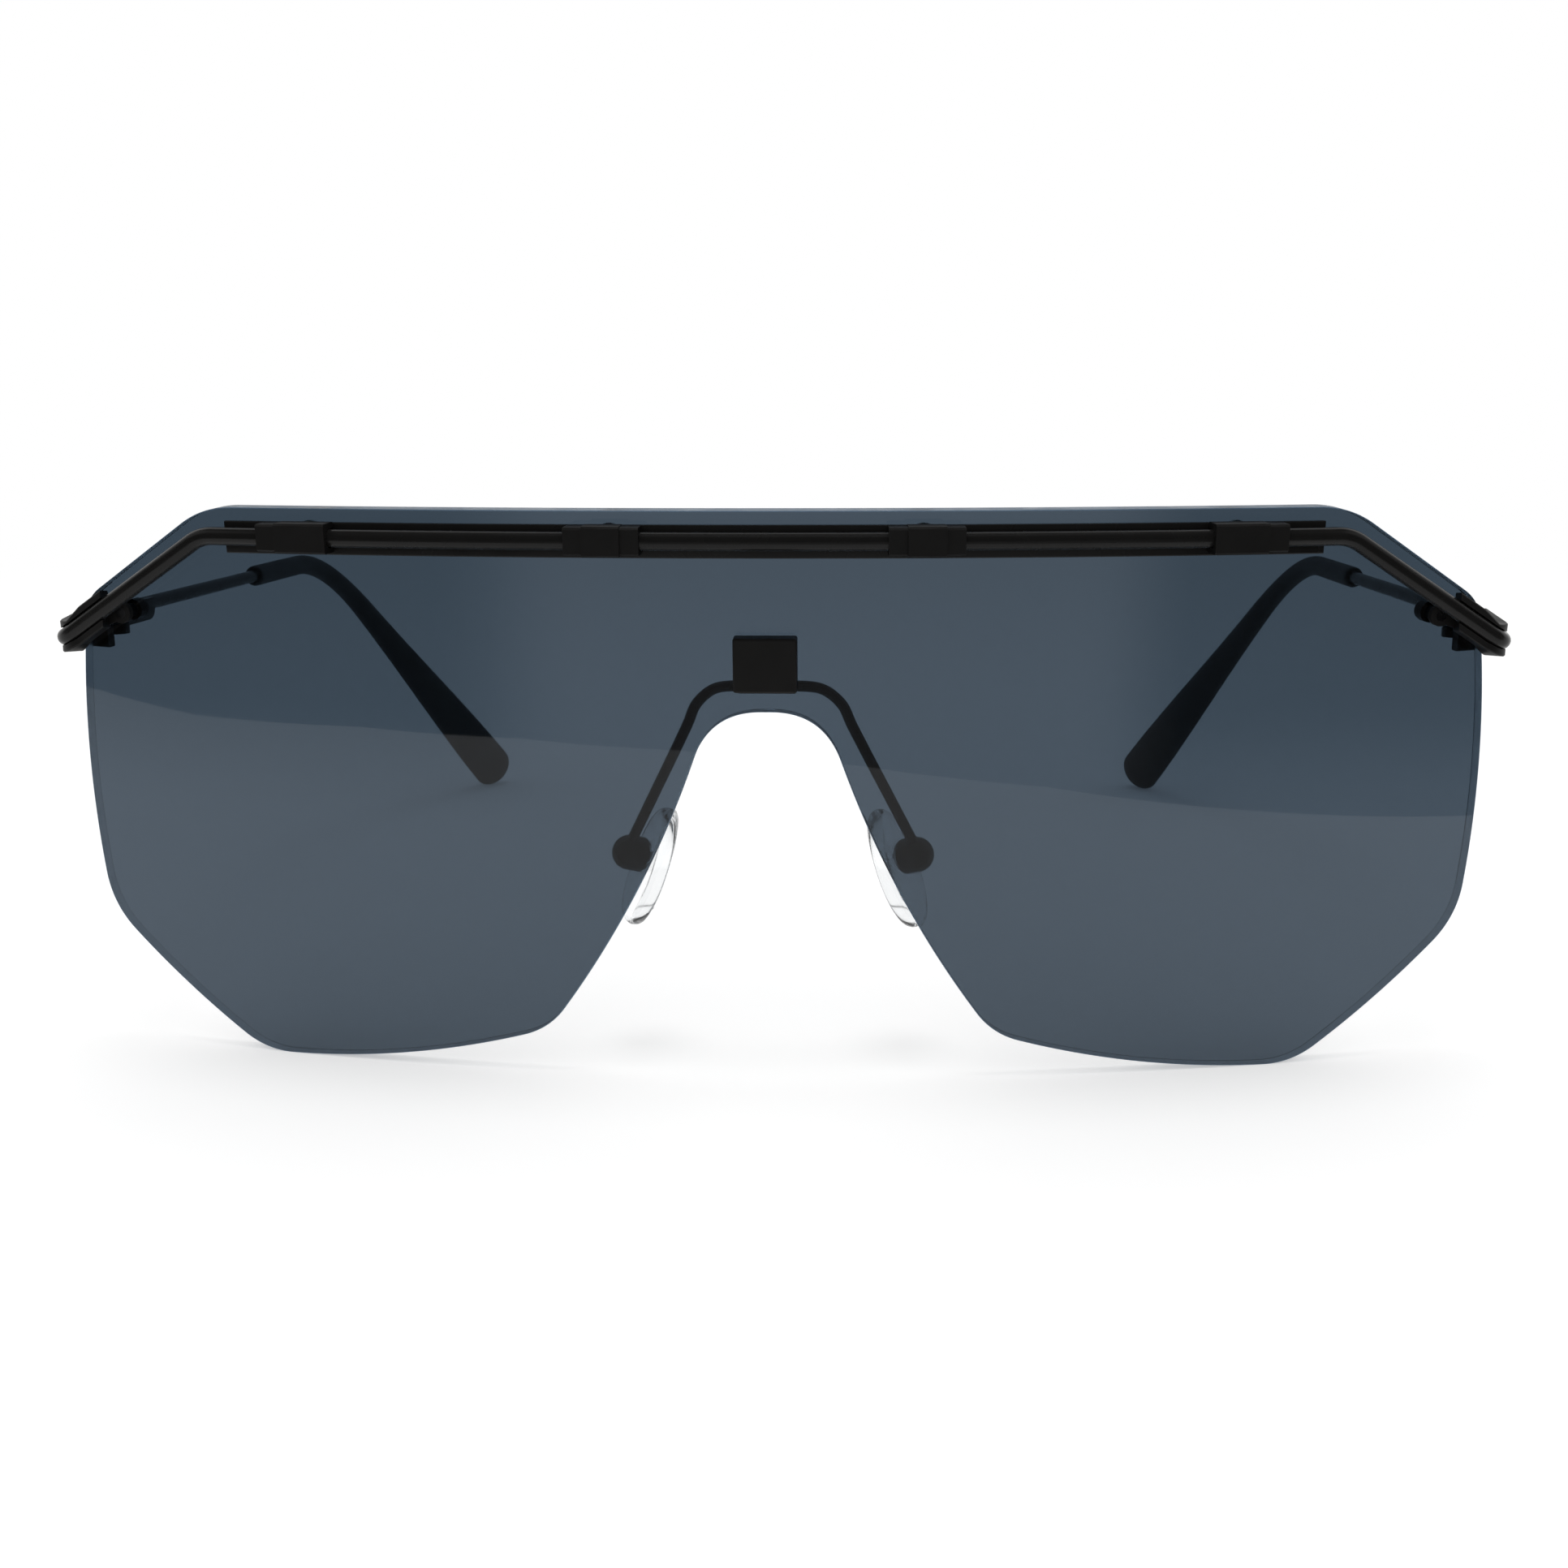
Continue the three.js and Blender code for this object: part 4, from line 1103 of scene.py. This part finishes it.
def tipStations():  # centre, half sizes up and out, and twist
    tipStart, twist, end = temple["tipStart"], temple["twist"], Vector(temple["tipEnd"])
    bend = onTemple(temple["tipBend"])
    down = (end - bend).normalized()
    (upStart, outStart), (upEnd, outEnd) = temple["halfStart"], temple["halfEnd"]
    capStart = end - down * upEnd
    length, inset = temple["mouth"]
    corners = [(onTemple(tipStart + length), 0), (bend, temple["tipBendRound"]), (capStart, 0)]
    bore = temple["wireRadius"] + gap
    stations = [(onTemple(tipStart + depth), bore, bore, 0.0) for depth in (temple["boreDepth"], 0)]
    for k in range(temple["mouthParts"]):  # the mouth rounds over the wire
        angle = math.pi / 2 * k / temple["mouthParts"]
        cut = inset * (1 - math.sin(angle))
        centre = onTemple(tipStart + length * (1 - math.cos(angle)))
        stations.append((centre, upStart - cut, outStart - cut, 0.0))
    for point in bentLine(corners, temple["tipStep"]):
        share = smoothStep(point.y, temple["tipBend"], end.y)
        up, out = upStart + (upEnd - upStart) * share, outStart + (outEnd - outStart) * share
        stations.append((point, up, out, share * twist))
    for angle in temple["capTurns"]:  # round end
        centre, left = capStart + down * upEnd * math.sin(angle), math.cos(angle)
        stations.append((centre, upEnd * left, outEnd * left, twist))
    return stations


def buildTemples():
    stations = tipStations()
    centres = [station[0] for station in stations[2:]]  # the bore's rings face as the mouth does
    rings = []
    for i, (centre, *sizes) in enumerate(stations):
        _, level, across = pathFrame(centres, max(i - 2, 0))
        rings.append(placeSection(centre, level, across, ellipseSection(*sizes)))
    skin, wireEnd = loftRings(rings), temple["tipStart"] + temple["wireInTip"]
    path = [onTemple(y) for y in spaced(temple["wireStart"], wireEnd, temple["wireParts"])]
    for side in sideSigns:
        body, place = f"temple_{side}", templePlace(side)
        growRoundBar(f"temple_wire_{side}", path, temple["wireRadius"], place, body)
        addPiece(f"temple_tip_{side}", body, skin, place, "mouldedTip", sharp=temple["sharp"])
    print("temples on their hinges")


# Bridge and nose pads

def buildBridge():
    cube = bmesh.new()
    bmesh.ops.create_cube(cube, size=1.0)
    bmesh.ops.scale(cube, vec=bridge["block"], verts=cube.verts)
    shown = [e for e in cube.edges if not all(v.co.y > 0 for v in e.verts)]
    bmesh.ops.bevel(cube, geom=shown, offset=bridge["blockEdge"], segments=4, profile=0.5, affect="EDGES")
    middle = Matrix.Translation((0, -bridge["block"][1] / 2 - gap, bridge["blockHeight"]))
    cube.transform(frontPlace @ middle)
    mesh = bpy.data.meshes.new("bridgeBlock")
    cube.to_mesh(mesh)
    cube.free()
    block = newPiece("bridgeBlock", mesh, "matteBlack")
    evenShading(block)
    fit(block, "front", "matteBlack", "bridge_block")
    dressCopy("bridge_bracket", "front", bridge["bracketEdge"])
    print("bridge block and bracket fitted")


nosePad = {
    "length": 13.6,
    "width": 7.0,
    "thickness": 2.3,
    "rounding": 0.9,
    "roundParts": 8,
    "crown": 0.4,  # rise of the face that meets the nose
    "crownParts": 10,
    "crownEnd": 0.995,  # share of the way to the middle
    "widest": -0.6,
    "drop": 1.2,
    "back": 1.35,  # from the ball's centre
    "backParts": 5,
    "flange": 1.5,
    "flangeHeight": 0.35,
    "recessEnd": 0.02,
    "sides": 64,
    "sharp": math.radians(60),
}
padCup = {
    "radius": 1.85,
    "depth": 3.3,
    "rim": 1.5,
    "mouth": 1.0,
    "socket": 1.3,
    "mouthRadius": 0.95,
    "ball": 1.15,
    "neck": 0.55,
    "armEnd": (0.9, -0.5, 1.55),
    "edge": 0.12,
    "stemEdge": 0.04,
    "arcParts": 14,
    "ballParts": 18,
    "sides": 48,
    "stemSides": 40,
    "pole": 0.005,  # radius left at the end of a round profile
}


def padPlace(side):
    joint = joints[f"pad_rock_{side}"]
    mounts = {mount["name"]: mount for mount in frame["record"]["mounts"]}
    outward = -Vector(mounts[f"nose_{side}"]["axis"])  # away from the nose
    rearward = Vector(joint["axis"])
    rearward = (rearward - outward * rearward.dot(outward)).normalized()
    outward = outward.normalized()
    upward = turnedUp(outward.cross(rearward))
    turn = Matrix((outward, rearward, upward)).transposed().to_4x4()
    return Matrix.Translation(joint["pos_m"]) @ turn @ toMetres


def catmullRom(knots, parts):
    ends = [knots[0] * 2 - knots[1]] + knots + [knots[-1] * 2 - knots[-2]]
    path = [knots[0]]
    for p0, p1, p2, p3 in zip(ends, ends[1:], ends[2:], ends[3:]):
        t1 = math.sqrt((p1 - p0).length)
        t2 = t1 + math.sqrt((p2 - p1).length)
        t3 = t2 + math.sqrt((p3 - p2).length)
        for k in range(1, parts + 1):
            t = t1 + (t2 - t1) * k / parts
            a1 = p0.lerp(p1, t / t1)
            a2 = p1.lerp(p2, (t - t1) / (t2 - t1))
            a3 = p2.lerp(p3, (t - t2) / (t3 - t2))
            b1 = a1.lerp(a2, t / t2)
            b2 = a2.lerp(a3, (t - t1) / (t3 - t1))
            path.append(b1.lerp(b2, (t - t1) / (t2 - t1)))
    return path


def padArmPath():
    middle = shield["thickness"] + gap + bridge["bracketDepth"] / 2
    bends = [Vector((out, middle + back, bridge["armHeight"] + up)) for out, back, up in bridge["armBends"]]
    intoCup = frontPlace.inverted() @ padPlace("right") @ Vector(padCup["armEnd"])
    return catmullRom(bends + [intoCup], bridge["armParts"])


def eggRing(inset, x):
    halfLong, halfWide = nosePad["length"] / 2 - inset, nosePad["width"] / 2 - inset
    widest, ring = nosePad["widest"], []
    for turn in fullTurn(nosePad["sides"]):
        end = halfLong - widest if math.cos(turn) > 0 else halfLong + widest
        z = widest + end * math.cos(turn) - nosePad["drop"]
        ring.append(Vector((x, halfWide * math.sin(turn), z)))
    return ring


def flangeRing(radius, x):
    return [Vector((x, radius * math.sin(t), radius * math.cos(t))) for t in fullTurn(nosePad["sides"])]


def padRings():
    back, rounding, crown = -nosePad["back"], nosePad["rounding"], nosePad["crown"]
    backParts, crownParts = nosePad["backParts"], nosePad["crownParts"]
    turns = spaced(0, math.pi / 2, nosePad["roundParts"])
    front = back - nosePad["thickness"]
    recess, hole = back - nosePad["flangeHeight"] - gap, nosePad["flange"] + gap
    rim, first = flangeRing(hole, back), eggRing(rounding, back)
    rings = [flangeRing(nosePad["recessEnd"], recess), flangeRing(hole, recess), rim]
    rings += [[a.lerp(b, k / backParts) for a, b in zip(rim, first)] for k in range(1, backParts + 1)]
    for t in turns[1:]:  # rear edge
        rings.append(eggRing(rounding * (1 - math.sin(t)), back - rounding * (1 - math.cos(t))))
    brink = front + crown
    for t in turns:  # edge towards the nose
        rings.append(eggRing(rounding * (1 - math.cos(t)), brink + rounding * (1 - math.sin(t))))
    outer, middle = rings[-1], Vector((front, 0, nosePad["widest"] - nosePad["drop"]))
    for share in [k / crownParts for k in range(1, crownParts)] + [nosePad["crownEnd"]]:  # crowned face
        x = brink - crown * (1 - (1 - share) ** 2)
        rings.append([Vector((x, *p.lerp(middle, share).yz)) for p in outer])
    return rings


def roundProfile(radius, start, stop, parts):
    pole, turns = padCup["pole"], spaced(start, stop, parts)
    return [(max(radius * math.cos(t), pole), radius * math.sin(t)) for t in turns]


def cupProfile():
    radius, mouth, mouthRadius = padCup["radius"], padCup["mouth"], padCup["mouthRadius"]
    low, height, parts = mouth - padCup["depth"], padCup["depth"] - padCup["rim"], padCup["arcParts"]
    dome = [
        (max(radius * math.sin(t), padCup["pole"]), low + height * (1 - math.cos(t)))
        for t in spaced(0, math.pi / 2, parts)
    ]
    lip = math.acos(mouthRadius / padCup["socket"])
    socket = roundProfile(padCup["socket"], lip, -math.pi / 2, parts)
    return dome + [(radius, mouth), (mouthRadius, mouth)] + socket


def stemProfile():
    neck, back, flange = padCup["neck"], nosePad["back"], nosePad["flange"]
    top = back + nosePad["flangeHeight"]
    ball = roundProfile(padCup["ball"], -math.pi / 2, math.acos(neck / padCup["ball"]), padCup["ballParts"])
    return ball + [(neck, back), (flange, back), (flange, top), (padCup["pole"], top)]


def buildNosePads():
    alongStem = Matrix.Rotation(math.pi / 2, 4, "Z")
    pad, cup = loftRings(padRings()), turnProfile(cupProfile(), padCup["sides"])
    stem, path = turnProfile(stemProfile(), padCup["stemSides"]), padArmPath()
    for side in sideSigns:
        body, place, soft = f"pad_{side}", padPlace(side), "clearSilicone"
        growRoundBar(f"pad_arm_{side}", path, bridge["armRadius"], frontSide(side), "front")
        addPiece(f"pad_cup_{side}", "front", cup, place @ alongStem, "satinBlack", padCup["edge"])
        addPiece(f"pad_stem_{side}", body, stem, place @ alongStem, soft, padCup["stemEdge"])
        addPiece(f"nose_pad_{side}", body, pad, place, soft, sharp=nosePad["sharp"])
    print("nose pads on their cups")


buildShieldLens()
buildBrowBar()
buildCollars()
buildEndpieces()
buildBridge()
buildHinges()
buildFixings()
buildTemples()
buildNosePads()


# Studio: white floor that runs into a white surround, soft lamps, and what stands before the lens

studio = {
    "floorSize": 6.0,
    "floorColour": (0.62, 0.62, 0.62, 1.0),
    "floorFade": (0.14, 0.5),  # where the paper turns into the white surround
    "floorLift": 0.42,  # what the floor adds for the camera, glass and gloss
    "surround": 0.85,  # level that lights the object
}


def seenDirectly(tree):
    ray = addNode(tree, "ShaderNodeLightPath", {}).outputs
    direct = addMath(tree, "MAXIMUM", ray["Is Camera Ray"], ray["Is Glossy Ray"])
    return addMath(tree, "MAXIMUM", direct, ray["Is Transmission Ray"])


def buildSurround():
    world = bpy.data.worlds.new("surround")
    bpy.context.scene.world = world
    world.use_nodes = True
    tree = world.node_tree
    level = addRange(tree, seenDirectly(tree), 0.0, 1.0)
    setInputs(tree, level, {"To Min": studio["surround"]})
    setInputs(tree, tree.nodes["Background"], {"Color": (1.0, 1.0, 1.0, 1.0), "Strength": level})


def newStage(name, points, faces):
    mesh = bpy.data.meshes.new(name)
    mesh.from_pydata(points, [], faces)
    piece = newPiece(name, mesh)
    material = bpy.data.materials.new(name)
    material.use_nodes = True
    material.node_tree.nodes.clear()
    mesh.materials.append(material)
    return piece, material.node_tree


def buildFloor():
    half = studio["floorSize"] / 2
    corners = [(-half, -half, 0), (half, -half, 0), (half, half, 0), (-half, half, 0)]
    _, tree = newStage("floor", corners, [(0, 1, 2, 3)])
    direct = seenDirectly(tree)
    paper = addNode(tree, "ShaderNodeBsdfDiffuse", {"Color": studio["floorColour"]})
    added = addMath(tree, "MULTIPLY", direct, studio["floorLift"])
    lift = addNode(tree, "ShaderNodeEmission", {"Strength": added})
    near = addNode(tree, "ShaderNodeAddShader", {0: paper, 1: lift})
    reach = addNode(tree, "ShaderNodeVectorMath", {0: objectPlace(tree)}, operation="LENGTH")
    fade = addRange(tree, reach.outputs["Value"], *studio["floorFade"], interpolation_type="SMOOTHSTEP")
    far = {"Fac": addMath(tree, "MULTIPLY", direct, fade), 2: addNode(tree, "ShaderNodeEmission", {})}
    sheet = addNode(tree, "ShaderNodeMixShader", {1: near, **far})
    addNode(tree, "ShaderNodeOutputMaterial", {"Surface": sheet})


# Only gloss sees the dark room and the grey table top before it, which starts where the white paper ends.

room = {
    # x and y of the paper's edge in millimetres
    "edge": [
        (-600, -110), (-210, -141), (-164, -150), (-115, -167), (-70, -175), (-27, -176),
        (12, -171), (57, -154), (90, -134), (139, -104), (600, -80),
    ],
    "depth": 1.1,
    "height": 0.0006,  # of the table top above the floor
    # level of the table top over its sideways place as a share of the distance
    "table": [(-0.45, 0.04), (-0.30, 0.35), (0.46, 0.35), (0.58, 0.06)],
    "halfWidth": 1.5,
    "turn": math.radians(110),  # from the level before the lens up and over
    "parts": 24,
    "level": 0.02,
}


def onlyForGloss(name, points, faces, level):
    screen, tree = newStage(name, points, faces)
    for ray in ("camera", "diffuse", "transmission", "shadow"):
        setattr(screen, "visible_" + ray, False)
    glow = addNode(tree, "ShaderNodeEmission", {"Strength": level})
    addNode(tree, "ShaderNodeOutputMaterial", {"Surface": glow})
    return tree, glow


def buildTableTop():
    edge = [Vector((x * mm, y * mm, room["height"])) for x, y in room["edge"]]
    spread = room["halfWidth"] / edge[-1].x
    far = [Vector((p.x * spread, -room["depth"], room["height"])) for p in edge]
    count = len(edge)
    faces = [(i, i + 1, i + 1 + count, i + count) for i in range(count - 1)]
    tree, glow = onlyForGloss("tableTop", edge + far, faces, 1.0)
    parts = addNode(tree, "ShaderNodeSeparateXYZ", {0: objectPlace(tree)}).outputs
    sideways = addMath(tree, "DIVIDE", parts["X"], addMath(tree, "MULTIPLY", parts["Y"], -1.0))
    first, last = room["table"][0][0], room["table"][-1][0]
    ramp = addNode(tree, "ShaderNodeValToRGB", {"Fac": addRange(tree, sideways, first, last)})
    stops = ramp.color_ramp.elements
    while len(stops) < len(room["table"]):
        stops.new(0.5)
    for stop, (at, level) in zip(stops, room["table"]):
        stop.position = (at - first) / (last - first)
        stop.color = (level, level, level, 1.0)
    setInputs(tree, glow, {"Color": ramp})


def buildDarkRoom():
    wide, far, height = room["halfWidth"], room["depth"], room["height"]
    points = [
        Vector((x, -far * math.cos(t), far * math.sin(t) + height))
        for t in spaced(0, room["turn"], room["parts"]) for x in (-wide, wide)
    ]
    count = len(points)
    faces = [(i, i + 1, i + 3, i + 2) for i in range(0, count - 2, 2)]
    points += [Vector((x, 0, height)) for x in (-wide, wide)]
    faces += [(count, *range(0, count, 2)), (count + 1, *range(1, count, 2))]
    onlyForGloss("darkRoom", points, faces, room["level"])


lamps = {
    "overhead": {"place": (0.0, -0.1, 1.2), "size": 0.45, "watts": 3.0},
    "leftSide": {"place": (-1.0, -0.2, 0.8), "size": 0.8, "watts": 0.9},
    "rightSide": {"place": (1.0, -0.2, 0.8), "size": 0.8, "watts": 0.9},
}


def buildLamps():
    for name, lamp in lamps.items():
        light = bpy.data.lights.new(name, "AREA")
        light.shape, light.size, light.energy = "DISK", lamp["size"], lamp["watts"]
        stand = bpy.data.objects.new(name, light)
        stand.location = lamp["place"]
        stand.rotation_euler = (-Vector(lamp["place"])).to_track_quat("-Z", "Y").to_euler()
        bpy.context.scene.collection.objects.link(stand)


photoCamera = {
    "place": (10.961, -260.318, 73.711),  # millimetres
    "yaw": -0.048472,
    "pitch": 0.218127,  # looks down
    "roll": -0.004304,
    "focal": 2448.9,  # pixels across the photograph's width
    "pixels": 1932,
    "sensor": 36.0,
    "clip": 0.01,
}


def buildCamera():
    camera = bpy.data.cameras.new("photoCamera")
    camera.sensor_width = photoCamera["sensor"]
    camera.lens = photoCamera["focal"] / photoCamera["pixels"] * photoCamera["sensor"]
    camera.clip_start = photoCamera["clip"]
    stand = bpy.data.objects.new("photoCamera", camera)
    turn = (
        Matrix.Rotation(-photoCamera["yaw"], 4, "Z")
        @ Matrix.Rotation(math.pi / 2 - photoCamera["pitch"], 4, "X")
        @ Matrix.Rotation(photoCamera["roll"], 4, "Z")
    )
    stand.matrix_world = Matrix.Translation(Vector(photoCamera["place"]) * mm) @ turn
    bpy.context.scene.collection.objects.link(stand)
    bpy.context.scene.camera = stand


buildSurround()
buildFloor()
buildTableTop()
buildDarkRoom()
buildLamps()
buildCamera()
bpy.context.scene.view_settings.view_transform = "Standard"
print("studio and camera set")
